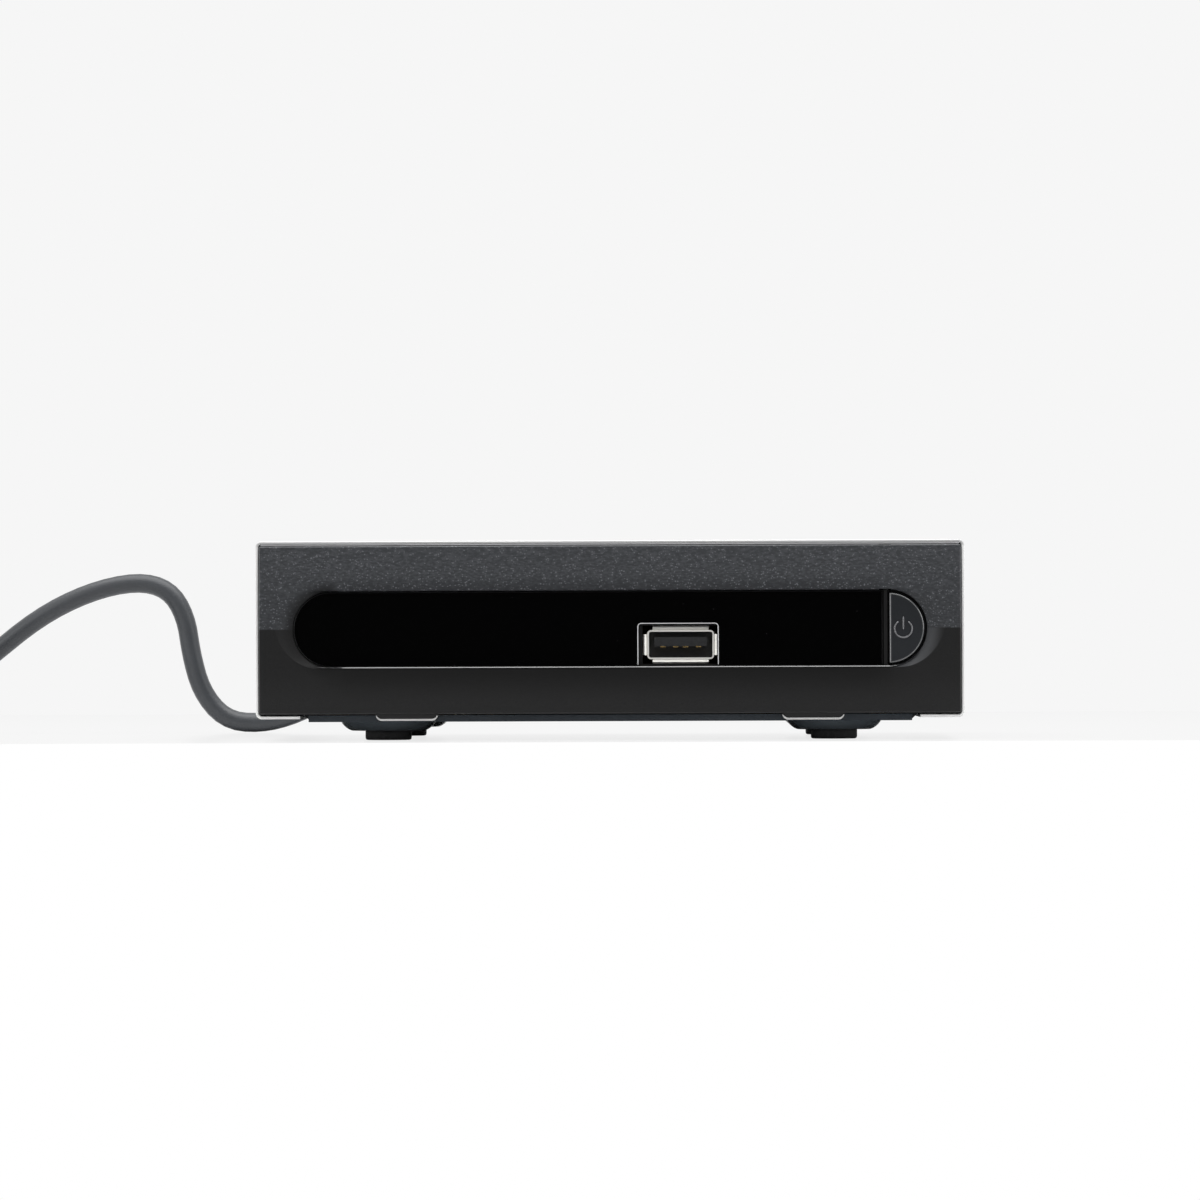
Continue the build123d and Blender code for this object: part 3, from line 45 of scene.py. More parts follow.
camera.data.sensor_width = 36
camera.location = (0.019, -1.39725, 0.0165)
camera.rotation_euler = (radians(90.47), radians(0.2), radians(0.894))
bpy.context.scene.collection.objects.link(camera)
bpy.context.scene.camera = camera


# Base pan: pressed steel in glossy slate paint. Its middle is sunk, four round seats are dished out for the feet,
# the front edge is hemmed back, and the rear panel carries the sockets and takes the cover's screws.
class Wire:
    """An output of a shader node. Sums on it, from either side, add a Math node and give that node's output."""

    def __init__(self, tree, socket):
        self.tree = tree
        self.socket = socket

    def node(self, kind, settings, sockets, output=0):
        """A node of a kind: its settings are set first, then each socket takes a value or another wire."""
        node = self.tree.nodes.new(kind)
        for name, value in settings.items():
            setattr(node, name, value)
        for name, value in sockets.items():
            if isinstance(value, Wire):
                self.tree.links.new(value.socket, node.inputs[name])
            else:
                node.inputs[name].default_value = value
        return Wire(self.tree, node.outputs[output])

    def math(self, operation, first, second):
        """A Math node on two inputs."""
        return self.node("ShaderNodeMath", {"operation": operation}, {0: first, 1: second})

    def __add__(self, other):
        return self.math("ADD", self, other)

    def __radd__(self, other):
        return self.math("ADD", other, self)

    def __sub__(self, other):
        return self.math("SUBTRACT", self, other)

    def __rsub__(self, other):
        return self.math("SUBTRACT", other, self)

    def __mul__(self, other):
        return self.math("MULTIPLY", self, other)

    def __rmul__(self, other):
        return self.math("MULTIPLY", other, self)

    def larger(self, other):
        """The larger of this and another, at every place."""
        return self.math("MAXIMUM", self, other)

    def axis(self, name):
        """One coordinate of a position."""
        return self.node("ShaderNodeSeparateXYZ", {}, {0: self}, name)

    def ease(self, low, high):
        """0 below low, 1 above high and a smooth step between them."""
        return self.node(
            "ShaderNodeMapRange", {"interpolation_type": "SMOOTHSTEP"}, {"Value": self, 1: low, 2: high}
        )

    def band(self, low, high, soft):
        """1 from low to high, with a smooth step of width soft that starts at each of them."""
        return self.ease(low, low + soft) * (1 - self.ease(high, high + soft))

    def pick(self, first, second):
        """The first colour where this is 0, the second where it is 1."""
        return self.node("ShaderNodeMix", {"data_type": "RGBA"}, {0: self, 6: first, 7: second}, 2)


class Finish:
    """A material being made: its shader, and the place on the piece in metres."""

    def __init__(self, name, colour, roughness, metallic=0.0, **constants):
        self.material = bpy.data.materials.new(name)
        self.material.use_nodes = True
        self.tree = self.material.node_tree
        self.shader = self.tree.nodes["Principled BSDF"]
        self.place = Wire(self.tree, self.tree.nodes.new("ShaderNodeTexCoord").outputs["Object"])
        self.shader.inputs["Base Color"].default_value = (*colour, 1)
        self.shader.inputs["Roughness"].default_value = roughness
        self.shader.inputs["Metallic"].default_value = metallic
        for socket, value in constants.items():
            self.shader.inputs[socket.replace("_", " ")].default_value = value

    def grain(self, size, detail=2.0, stretch=(1, 1, 1)):
        """Cloudy noise from 0 to 1 whose grains are about size metres across, longer where stretch is small."""
        spread = tuple(part / size for part in stretch)
        placed = self.place.node("ShaderNodeMapping", {}, {"Vector": self.place, "Scale": spread})
        return self.place.node("ShaderNodeTexNoise", {}, {"Vector": placed, "Scale": 1.0, "Detail": detail})

    def feed(self, socket, wire):
        """Leads a wire into a socket of the shader."""
        self.tree.links.new(wire.socket, self.shader.inputs[socket])

    def relief(self, height, depth):
        """A bump from a height of 0 to 1 that is depth metres deep."""
        self.feed("Normal", height.node("ShaderNodeBump", {}, {"Height": height, "Distance": depth, "Strength": 1.0}))


def dress(finish, *names):
    """Gives a finish to CAD nodes."""
    for name in names:
        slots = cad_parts[name].data.materials
        slots.clear()
        slots.append(finish.material)


def spray(finish, peel):
    """The relief of sprayed paint: a soft orange-peel wave and finer dust. Returns the dust."""
    dust = finish.grain(0.00022, 1.0)
    finish.relief(finish.grain(0.0011, 1.5) * 0.8 + dust * 0.2, peel)
    return dust


def coated(name, colour, roughness, peel, **constants):
    """Sprayed paint on sheet steel, with dust and a little cloudiness in its colour and gloss."""
    finish = Finish(name, colour, roughness, **constants)
    dust = spray(finish, peel)
    clouds = finish.grain(0.02, 2.0)
    light = tuple(part * 1.14 for part in colour)
    dark = tuple(part * 0.88 for part in colour)
    finish.feed("Base Color", (clouds * 0.7 + dust * 0.3).ease(0.3, 0.7).pick((*dark, 1), (*light, 1)))
    finish.feed("Roughness", roughness - 0.05 + clouds * 0.07 + dust * 0.05)
    return finish


pan_paint = coated("pan_paint", (0.034, 0.041, 0.049), 0.24, 0.00002, Coat_Weight=0.3)
dress(pan_paint, "base_pan")


# Foot seats: the dished rounds of the pan, seen low under the front edge. They are smoother and glossier than the rest
# of the pan and painted paler as light, with a flat ring that the rubber foot sits on.
def skin(name, grid, finish, body, stands_for=()):
    """A piece whose points lie on a grid that closes in its first direction and runs along in its second. Points that
    fall together, at the seam and the poles, are merged, and the faces turned outwards."""
    around, along = grid.shape[:2]
    index = np.arange(around * along).reshape(around, along)
    ahead = np.roll(index, -1, axis=0)
    quads = np.stack([index[:, :-1], ahead[:, :-1], ahead[:, 1:], index[:, 1:]], axis=-1).reshape(-1, 4)
    mesh = bpy.data.meshes.new(name)
    mesh.from_pydata(grid.reshape(-1, 3).tolist(), [], quads.tolist())
    tidy = bmesh.new()
    tidy.from_mesh(mesh)
    bmesh.ops.remove_doubles(tidy, verts=tidy.verts, dist=1e-7)
    bmesh.ops.recalc_face_normals(tidy, faces=tidy.faces)
    tidy.to_mesh(mesh)
    tidy.free()
    mesh.shade_smooth()
    mesh.set_sharp_from_angle(angle=radians(38))
    mesh.materials.append(finish.material)
    piece = bpy.data.objects.new(name, mesh)
    bpy.context.scene.collection.objects.link(piece)
    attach(piece, body)
    if stands_for:
        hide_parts(*stands_for)
    return piece


def turned(profile, centre, axis="z", sides=64):
    """A profile of (radius, height) pairs carried once round an axis: centre + radius (cos a, sin a) across the axis
    and + height along it. The grid runs round first and along the profile second."""
    radius, height = np.array(profile).T
    angle = np.arange(sides)[:, None] * 2 * np.pi / sides
    across = np.stack([radius * np.cos(angle), radius * np.sin(angle)])
    along = np.broadcast_to(height, across[0].shape)
    x, y, z = {"z": (*across, along), "y": (across[0], along, across[1])}[axis]
    return np.stack([x, y, z], axis=-1) + np.array(centre)


foot_x = 0.0442
foot_places = [
    (f"{row}_{side}", (x, y, 0))
    for row, y in (("front", -0.04075), ("rear", 0.03125))
    for side, x in (("left", -foot_x), ("right", foot_x))
]
# The seats' pale colour is painted light, standing in for the table's bounce that the shade under the box keeps from
# them.
seat_paint_painted_light = coated("seat_paint_painted_light", (0.108, 0.13, 0.147), 0.2, 0.00001, Coat_Weight=0.8)
seat_profile = [(0.0096, 0.00371), (0.00943, 0.00368), (0.00935, 0.0036), (0.00915, 0.00325), (0.0088, 0.00285)]
seat_profile += [(0.0084, 0.00248), (0.0079, 0.00214), (0.0075, 0.00196), (0.0071, 0.00187), (0.0047, 0.00186)]
seat_profile += [(0.0045, 0.0019)]
for corner, place in foot_places:
    skin(f"foot_seat_{corner}", turned(seat_profile, place, sides=96), seat_paint_painted_light, "housing")


# Feet: four black rubber buttons, each pushed through the hole of its seat until the head inside snaps open. The tread
# is slightly hollow, its rim is rounded and it picks up dust.
def moulded(name, colour, roughness, grain_size, grain_depth, variation=0.12, **constants):
    """Moulded plastic or rubber: spark-eroded grain, faint flow clouds in the colour, patchy sheen from handling."""
    finish = Finish(name, colour, roughness, **constants)
    clouds = finish.grain(0.012, 3.0)
    fine = finish.grain(grain_size, 2.0)
    light = tuple(min(1.0, part * (1 + variation)) for part in colour)
    dark = tuple(part * (1 - variation) for part in colour)
    finish.feed("Base Color", (clouds * 0.6 + fine * 0.4).ease(0.25, 0.75).pick((*dark, 1), (*light, 1)))
    finish.feed("Roughness", roughness - 0.06 + clouds * 0.08 + fine * 0.04)
    finish.relief(fine, grain_depth)
    return finish


rubber = moulded("rubber", (0.026, 0.027, 0.0285), 0.66, 0.00025, 0.00002, 0.3)
foot_profile = [(0, 0.00035), (0.003, 0.00032), (0.0036, 0.00012), (0.0038, 0.00001), (0.0041, 0.00001)]
foot_profile += [(0.00442, 0.00009), (0.00456, 0.0003), (0.0046, 0.0006), (0.0046, 0.0017), (0.00454, 0.00186)]
foot_profile += [(0.0015, 0.00188), (0.00148, 0.0025), (0.0024, 0.00252), (0.0024, 0.003), (0.0015, 0.00346)]
foot_profile += [(0, 0.0035)]
for corner, place in foot_places:
    skin(f"rubber_foot_{corner}", turned(foot_profile, place), rubber, "housing", (f"foot_{corner}",))


# Standoffs, screws and insulating sheet: brass hexagons on the pan carry both boards 5 mm up, zinc-plated screws with a
# cross recess hold them, and a sheet of pale film lies under the board that carries mains voltage.
def plated(name, colour, roughness, stretch=(1, 1, 1), dulling=0.1, **constants):
    """Plated or rolled metal: fine drawn lines, duller clouds, and darker spots where the plating is thin."""
    finish = Finish(name, colour, roughness, 1.0, **constants)
    lines = finish.grain(0.0003, 3.0, stretch)
    clouds = finish.grain(0.006, 2.0)
    worn = clouds.ease(0.55, 0.8)
    dark = tuple(part * 0.72 for part in colour)
    finish.feed("Base Color", (worn * 0.6 + lines * 0.15).pick((*colour, 1), (*dark, 1)))
    finish.feed("Roughness", roughness + worn * dulling + lines * 0.06)
    finish.relief(lines, 0.000006)
    return finish


brass = plated("brass", (0.72, 0.55, 0.28), 0.3)
dress(brass, "board_standoffs")
zinc = plated("zinc_steel", (0.52, 0.52, 0.5), 0.34)
film = moulded("insulating_film", (0.55, 0.53, 0.46), 0.25, 0.0006, 0.00001, 0.06, Transmission_Weight=0.15)
dress(film, "insulation_sheet")
screw_sides = 72
cross_depth = 0.6
cross_half_width = 0.13
cross_reach = 0.56


def screw_grid(centre, head_radius, head_height, shank_radius, length, turn):
    """A pan head on a shank. The top's height at radius r is a dome, 1 - 0.45 (r / head radius)^4, less a cross with
    sloped walls. The cross's depth is a share of the head's height, its width and reach of the head's radius."""
    share = np.concatenate([np.linspace(0, 0.97, 18), [1.0]])
    angle = np.arange(screw_sides)[:, None] * 2 * np.pi / screw_sides
    x, y = share * np.cos(angle), share * np.sin(angle)
    dome = head_height * (1 - 0.45 * share**4)
    narrow = np.minimum(np.abs(x), np.abs(y))
    cut = np.clip((cross_half_width - narrow) / 0.04, 0, 1) * np.clip((cross_reach - share) / 0.08, 0, 1)
    top = dome - cross_depth * head_height * cut
    below = [(head_radius, 0.0), (shank_radius, 0.0), (shank_radius, -length), (0.0, -length)]
    reach = np.concatenate([share * head_radius, [part[0] for part in below]])
    rise = np.concatenate([top, np.tile([part[1] for part in below], (screw_sides, 1))], axis=1)
    flat = np.stack([reach * np.cos(angle), reach * np.sin(angle), rise], axis=-1)
    return flat @ np.array(turn).T + np.array(centre)


upright = ((1, 0, 0), (0, 1, 0), (0, 0, 1))
rearward = ((1, 0, 0), (0, 0, 1), (0, -1, 0))


def join(name, parts, node):
    """Joins like pieces into one that stands for a CAD node."""
    if len(parts) > 1:
        with bpy.context.temp_override(active_object=parts[0], selected_editable_objects=parts):
            bpy.ops.object.join()
    parts[0].name = name
    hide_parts(node)


def screws(name, centres, turn, sizes, node):
    """Like screws as one piece. The sizes are the head's radius and height and the shank's radius and length."""
    parts = [
        skin(f"{name}_{number}", screw_grid(centre, *sizes, turn), zinc, "housing")
        for number, centre in enumerate(centres)
    ]
    join(name, parts, node)


board_top = 0.0109
board_fixings = [(-0.0555, -0.032), (-0.0345, -0.032), (-0.0555, 0.0415), (-0.034, 0.018)]
board_fixings += [(-0.024, -0.024), (0.055, -0.024), (-0.024, 0.026), (0.030, 0.026)]
board_heads = [(x, y, board_top) for x, y in board_fixings]
board_screw = (0.0027, 0.0017, 0.00118, 0.0054)
screws("cross_screws_boards", board_heads, upright, board_screw, "board_screws")


# Power board: pale paper laminate whose tracks show faintly, with its parts on top: a ferrite transformer taped in
# yellow, electrolytic cans, a fuse, a choke and a transistor on its aluminium sink.
def laminate(name, mask, copper, pitch):
    """A printed board: tracks and pads show through the mask as a brick pattern of lines and rounds on a pitch."""
    finish = Finish(name, mask, 0.32)
    flat = finish.place.node("ShaderNodeMapping", {}, {"Vector": finish.place, "Rotation": (0, 0, radians(90))})
    tracks = finish.place.node(
        "ShaderNodeTexBrick",
        {"offset": 0.37, "squash": 0.6},
        {"Vector": flat, "Scale": 1 / pitch, "Mortar Size": 0.06, "Brick Width": 3.1, "Row Height": 0.7},
        1,
    )
    cells = finish.place.node(
        "ShaderNodeTexVoronoi", {"feature": "F1"}, {"Vector": finish.place, "Scale": 0.6 / pitch}
    )
    pads = 1 - cells.ease(0.16, 0.2)
    grain = finish.grain(0.0007, 3.0)
    tinted = (tracks * 0.8 + grain * 0.2).pick((*mask, 1), (*copper, 1))
    finish.feed("Base Color", pads.pick(tinted, (0.62, 0.6, 0.55, 1)))
    finish.feed("Metallic", pads)
    finish.feed("Roughness", 0.36 - pads * 0.1 + grain * 0.1)
    finish.relief(tracks * 0.6 + pads * 0.4, 0.00002)
    return finish


paper_board = laminate("paper_board", (0.36, 0.25, 0.11), (0.30, 0.21, 0.09), 0.006)
dress(paper_board, "power_board", "front_board")
ferrite = moulded("ferrite", (0.035, 0.034, 0.033), 0.6, 0.00015, 0.00003, 0.3)
dress(ferrite, "transformer_core", "line_choke")
tape = Finish("winding_tape", (0.72, 0.5, 0.05), 0.3)
tape_width = 0.0008
tape_edge = tape.place.math("FRACT", tape.place.axis("Z") * (1 / tape_width), 0.0)
tape_grain = tape.grain(0.0008, 2.0)
tape.feed("Base Color", tape_edge.ease(0.86, 0.95).pick((0.72, 0.5, 0.05, 1), (0.45, 0.3, 0.03, 1)))
tape.feed("Roughness", 0.24 + tape_grain * 0.16)
tape.relief(tape_edge * 0.7 + tape_grain * 0.3, 0.00004)
dress(tape, "transformer_winding")
aluminium = plated("aluminium", (0.7, 0.71, 0.72), 0.36, (1, 1, 0.08))
dress(aluminium, "power_heatsink", "chip_heatsink")
epoxy = moulded("chip_epoxy", (0.012, 0.012, 0.013), 0.5, 0.0002, 0.00002, 0.25)
dress(epoxy, "power_transistor", "main_chip", "memory_chips", "switch_plunger")
fuse_red = moulded("fuse_body", (0.19, 0.035, 0.02), 0.32, 0.0004, 0.00001)
dress(fuse_red, "fuse")
lead_core = moulded("mains_core", (0.05, 0.09, 0.25), 0.4, 0.0004, 0.00001)
dress(lead_core, "mains_leads")

sleeve = Finish("capacitor_sleeve", (0.012, 0.016, 0.045), 0.22)
sleeve_height = sleeve.place.node("ShaderNodeAttribute", {"attribute_name": "rise"}, {}, 2)
sleeve_angle = sleeve.place.node("ShaderNodeAttribute", {"attribute_name": "round"}, {}, 2)
sleeve_stripe = sleeve_angle.band(0.40, 0.57, 0.005)
sleeve_crown = sleeve_height.ease(0.985, 0.988)
sleeve_cloud = sleeve.grain(0.002, 2.0)
sleeve_tone = sleeve_stripe.pick((0.012, 0.016, 0.045, 1), (0.28, 0.3, 0.36, 1))
sleeve.feed("Base Color", sleeve_crown.pick(sleeve_tone, (0.66, 0.67, 0.68, 1)))
sleeve.feed("Metallic", sleeve_crown)
sleeve.feed("Roughness", 0.2 + sleeve_cloud * 0.1 + sleeve_crown * 0.12)
sleeve.relief(sleeve_cloud, 0.00002)


def can(name, places, radius, height, node):
    """Electrolytic cans joined into one piece: a turned profile with a crimped neck low down and a sleeve that is
    shrunk over the rim. Round the axis and up it are kept as attributes for the stripe and the bare crown."""
    neck = 0.9 * radius
    profile = [(0, 0), (neck, 0), (radius, 0.04 * height), (radius, 0.1 * height), (neck, 0.14 * height)]
    profile += [(radius, 0.18 * height), (radius, 0.93 * height), (0.93 * radius, 0.99 * height)]
    profile += [(0.8 * radius, height), (0.78 * radius, 0.985 * height), (0, 0.985 * height)]
    parts = []
    for number, place in enumerate(places):
        part = skin(f"{name}_{number}", turned(profile, (*place, board_top)), sleeve, "housing")
        points = np.empty(len(part.data.vertices) * 3, np.float32)
        part.data.vertices.foreach_get("co", points)
        points = points.reshape(-1, 3) - np.array((*place, board_top))
        turn = np.arctan2(points[:, 1], points[:, 0]) / (2 * np.pi) + 0.5
        crown = (points[:, 2] > 0.97 * height) & (np.hypot(points[:, 0], points[:, 1]) < 0.81 * radius)
        for label, values in (("round", turn), ("rise", np.where(crown, 1.0, points[:, 2] / height * 0.95))):
            part.data.attributes.new(label, "FLOAT", "POINT").data.foreach_set("value", values.astype(np.float32))
        parts.append(part)
    join(name, parts, node)


can("can_bulk", [(-0.052, 0.02)], 0.0062, 0.021, "bulk_capacitor")
can("cans_output", [(-0.052, -0.02), (-0.043, -0.02), (-0.043, -0.029)], 0.00395, 0.014, "output_capacitors")

# Main board: green laminate with a large chip under a finned cooler, two memory chips, a crystal and small cans, all
# on its top; a connector at its left edge takes the loop of wires from the power board.
green_board = laminate("green_board", (0.012, 0.085, 0.03), (0.02, 0.13, 0.05), 0.004)
dress(green_board, "main_board")
main_cans = [(-0.017, 0.008), (-0.017, 0.016), (-0.017, -0.002), (0.048, -0.016)]
can("cans_main", main_cans, 0.0031, 0.011, "main_capacitors")
tin = plated("tinned_steel", (0.62, 0.63, 0.63), 0.28)
dress(tin, "crystal")
nylon = moulded("connector_nylon", (0.72, 0.7, 0.63), 0.45, 0.0003, 0.00001, 0.05)
dress(nylon, "power_connector", "main_connector", "status_led", "aerial_insulators")
ribbon = Finish("ribbon_film", (0.62, 0.62, 0.6), 0.4)
wire_pitch = 0.001
ribbon_x = ribbon.place.axis("X") * (1 / wire_pitch)
ribbon_line = ribbon.place.math("PINGPONG", ribbon_x, 0.5).ease(0.3, 0.42)
ribbon_grain = ribbon.grain(0.0005, 2.0)
ribbon.feed("Base Color", ribbon_line.pick((0.62, 0.62, 0.6, 1), (0.4, 0.4, 0.39, 1)))
ribbon.feed("Roughness", 0.36 + ribbon_grain * 0.12)
ribbon.relief(ribbon_line * 0.8 + ribbon_grain * 0.2, 0.00005)
dress(ribbon, "board_harness", "front_ribbon")

# Tuner and rear sockets: a tinned can with a snap-on lid carries the two aerial sleeves; beside it stand the wide AV
# socket in its folded shroud and the small digital video port. All are nickel or tin plate over black plastic.
nickel = plated("nickel", (0.66, 0.64, 0.6), 0.18, dulling=0.08)
dress(tin, "tuner_can", "tuner_lid", "av_socket_shell")
dress(nickel, "aerial_in_sleeve", "aerial_out_sleeve", "aerial_contacts", "video_port_shell")
socket_black = moulded("socket_plastic", (0.012, 0.012, 0.0135), 0.4, 0.0003, 0.00001, 0.2)
dress(socket_black, "av_socket_body", "video_port_tongue", "switch_body")

# Front board: upright behind the fascia on two bosses, with the push switch, the remote receiver under its dark dome
# and the standby light with a clear rod that carries it to the window.
front_fixings = [(x, -0.03815, 0.02185) for x in (-0.0015, 0.047)]
front_screw = (0.0022, 0.0014, 0.00098, 0.0069)
screws("cross_screws_front", front_fixings, rearward, front_screw, "front_board_screws")
filter_dark = moulded("dark_filter", (0.012, 0.006, 0.008), 0.12, 0.0005, 0.000005)
dress(filter_dark, "ir_receiver")
rod = moulded("light_pipe", (0.85, 0.88, 0.9), 0.1, 0.0006, 0.000004, 0.03, Transmission_Weight=0.8)
dress(rod, "light_guide")

# Data port: a type-A socket folded from bright nickel plate, its lips flared round the mouth, with a black tongue in
# its upper half and four gilt contacts under it.
port_plate = plated("port_nickel", (0.86, 0.85, 0.81), 0.42, dulling=0.05)
dress(port_plate, "data_port_shell")
tongue_black = moulded("tongue_plastic", (0.035, 0.036, 0.038), 0.3, 0.0003, 0.00001, 0.2)
dress(tongue_black, "data_port_tongue")
gilt = plated("gold_contact", (0.82, 0.58, 0.24), 0.2)
dress(gilt, "data_port_contacts")

# Fascia: one moulding in dark grey plastic, creased along its middle. The upper facet has a coarse grain with painted
# glints, and painted shade towards the crease and above the slot; the lower facet has a finer grain and is painted
# darker as shade, most of all under the slot. The slot's walls and the shelf and rib beside the button are smooth and
# painted black as shade, the left scoop is painted dark as shade, a crescent of the right scoop is painted paler as
# light, and the outer edges are glossier.
crease_height = 0.0218
fascia_front = -0.05725
slot_centre = 0.0548
slot_height = 0.02185
slot_radius = 0.0075
fascia = Finish("fascia_plastic", (0.06, 0.063, 0.07), 0.5, Specular_IOR_Level=0.2, Coat_Roughness=0.12)
fascia_x = fascia.place.axis("X")
fascia_y = fascia.place.axis("Y")
fascia_z = fascia.place.axis("Z")
fascia_across = fascia_x.math("ABSOLUTE", fascia_x, 0.0)
fascia_middle = 1 - fascia_across.ease(0.05, 0.06)
fascia_above = fascia_z.ease(crease_height - 0.0001, crease_height + 0.0003)
fascia_set_back = (fascia_z - crease_height) * (fascia_above * 0.115 - 0.0482)
fascia_scoop = (fascia_y - fascia_set_back).ease(fascia_front + 0.00003, fascia_front + 0.00012)
fascia_inside = fascia_y.ease(fascia_front + 0.00132, fascia_front + 0.00136)
fascia_out = fascia_across - slot_centre
fascia_up = fascia_z - slot_height
fascia_reach = fascia_x.math("POWER", fascia_out * fascia_out + fascia_up * fascia_up, 0.5)
fascia_shelf = fascia_x.band(0.0528, 0.05515, 0.0001) * fascia_scoop
fascia_rib = fascia_x.band(0.0537, 0.0544, 0.0001) * fascia_scoop
fascia_side = fascia_across.ease(0.0687, 0.06875)
fascia_rim = fascia_z.ease(0.03803, 0.03807) + (1 - fascia_z.ease(0.00543, 0.00547)) + fascia_side
fascia_coarse = fascia.grain(0.0005, 3.0, (0.6, 1, 1.3))
fascia_fine = fascia.grain(0.00016, 1.0)
fascia_clouds = fascia.grain(0.015, 2.0)
fascia_cells = fascia.place.node("ShaderNodeTexVoronoi", {"feature": "F1"}, {"Vector": fascia.place, "Scale": 2200.0})
# Painted glints: bright specks of the coarse grain on the upper facet, painted into the colour as highlights.
fascia_painted_glints = (1 - fascia_cells.ease(0.15, 0.4)) * fascia_coarse.ease(0.46, 0.58) * fascia_above
fascia_grained = fascia_coarse.ease(0.35, 0.65).pick((0.056, 0.059, 0.064, 1), (0.088, 0.092, 0.099, 1))
# Painted shade: the upper facet darkens towards the crease, and more above the slot's middle.
fascia_painted_shade_low = (1 - fascia_z.ease(0.023, 0.037)) * 0.4
fascia_painted_shade_brow = (1 - fascia_z.ease(0.0288, 0.0335)) * fascia_middle * 0.7
fascia_shaded = fascia_painted_shade_low.larger(fascia_painted_shade_brow).pick(fascia_grained, (0.016, 0.017, 0.019, 1))
fascia_upper = (fascia_painted_glints * 0.7).pick(fascia_shaded, (0.26, 0.27, 0.29, 1))
# The lower facet is the same plastic painted much darker as shade, with a fine grain in it.
fascia_fine_grain_painted_shade = fascia_fine.ease(0.35, 0.65).pick((0.0125, 0.0125, 0.0128, 1), (0.0165, 0.0165, 0.0168, 1))
# Painted shade: the lower facet darkens towards the slot above it, most in the middle.
fascia_under_slot_painted_shade = fascia_z.ease(0.0065, 0.0145) * (0.35 + fascia_middle * 0.65)
fascia_lower = fascia_under_slot_painted_shade.pick(fascia_fine_grain_painted_shade, (0.0005, 0.0005, 0.0005, 1))
fascia_facets = fascia_above.pick(fascia_lower, fascia_upper)
# Painted shade: the scoop round the slot's left end is darkened nearly to black.
fascia_left_painted_shade = (1 - fascia_x.ease(-0.0555, -0.0525)) * (1 - fascia_reach.ease(0.0074, 0.0102)) * 0.9
fascia_crescent = 1 - fascia_reach.ease(0.0083, 0.0108)
# Painted light: a crescent in the lower part of the right scoop is painted paler, as if lit.
fascia_right_scoop_painted_light = fascia_scoop * (1 - fascia_above) * fascia_x.ease(0.052, 0.055) * fascia_crescent
fascia_near = fascia_left_painted_shade.pick(fascia_facets, (0.001, 0.001, 0.001, 1))
fascia_outside = fascia_right_scoop_painted_light.pick(fascia_near, (0.066, 0.068, 0.072, 1))
# Painted shade: the slot's walls and the shelf and rib beside the button are painted near black.
fascia_recess_painted_shade = fascia_shelf.larger(fascia_inside)
fascia.feed("Base Color", fascia_recess_painted_shade.pick(fascia_outside, (0.004, 0.004, 0.004, 1)))
fascia.feed("Coat Weight", fascia_rim * 0.5)
fascia_satin = 0.5 + fascia_clouds * 0.05 - fascia_painted_glints * 0.15 - fascia_above * 0.05
fascia.feed("Roughness", fascia_satin - (fascia_shelf - fascia_rib) * 0.4)
fascia_height = fascia_coarse * (0.3 + fascia_above * 0.7) + fascia_fine * 0.3
fascia.relief(fascia_height * (1 - fascia_recess_painted_shade) * (1 - fascia_rim * 0.9), 0.00005)
dress(fascia, "front_fascia")
lip_finish = moulded(
    "polished_lip", (0.02, 0.021, 0.023), 0.12, 0.0004, 0.000002, 0.1, Coat_Weight=1.0, Specular_IOR_Level=1.0
)
lip_start = -0.0575
lip_turn = radians(50)
lip_front = -0.05702
lip_sink = 0.00075
lip_width = 0.00017


def lip_grid():
    """The lip of the slot: along its lower edge and round the right end up to 40 degrees below level, at a distance
    r from the slot's middle line. The section (r, y) has a face at 45 degrees that looks up and forward; it sinks
    from the facet's depth to the hollow's along the arc and narrows to nothing at both ends."""
    run = np.linspace(lip_start, slot_centre, 40)
    turn = np.linspace(0, lip_turn, 30)[1:]
    x = np.concatenate([run, slot_centre + 0 * turn])
    lean = np.concatenate([0 * run, turn])
    place = np.concatenate([(run - run[-1]), slot_radius * turn])
    share = np.clip(turn / radians(20), 0, 1)
    front = np.concatenate([np.full(len(run), lip_front), lip_front + lip_sink * share * share * (3 - 2 * share)])
    width = np.clip((place - place[0]) / 0.004, 0, 1) * np.clip((place[-1] - place) / 0.003, 0, 1)
    width = np.sqrt(width) * lip_width
    middle = slot_radius - 0.0001
    section_r = np.array([1, 0, 0, 1])[:, None] * width + middle
    section_y = front + np.array([0, 1, 4.2, 4.2])[:, None] * np.maximum(width, 0.00002)
    return np.stack([x + section_r * np.sin(lean), section_y, slot_height - section_r * np.cos(lean)], axis=-1)


skin("slot_lip", lip_grid(), lip_finish, "housing")
lug_x = 0.0399


def lug_rim_grid(side):
    """The bright edge under a lug: its lower outline is a line with rounded ends, from inset 0 to 0.4 mm. The section
    has a face that looks down and forward, and narrows towards both ends."""
    half, corner, bottom, front = 0.0061, 0.0012, 0.0039, -0.0563
    turn = np.linspace(0, radians(80), 12)
    x = np.concatenate([-half + corner * (1 - np.sin(turn[::-1])), half - corner * (1 - np.sin(turn))])
    rise = np.concatenate([corner * (1 - np.cos(turn[::-1])), corner * (1 - np.cos(turn))])
    lean = np.concatenate([-turn[::-1], turn])
    width = 0.00038 * np.cos(lean) ** 0.5
    inward = np.array([0.02, 1, 1, 0.02])[:, None] * width
    depth = front - np.array([0, 1, -0.1, -0.1])[:, None] * width
    return np.stack(
        [side * lug_x + x - inward * np.sin(lean), depth, bottom + rise + inward * np.cos(lean)], axis=-1
    )


rim_metal = plated("lug_rim_metal", (0.78, 0.78, 0.77), 0.25)
for side, number in (("left", -1), ("right", 1)):
    skin(f"lug_rim_{side}", lug_rim_grid(number), rim_metal, "housing")

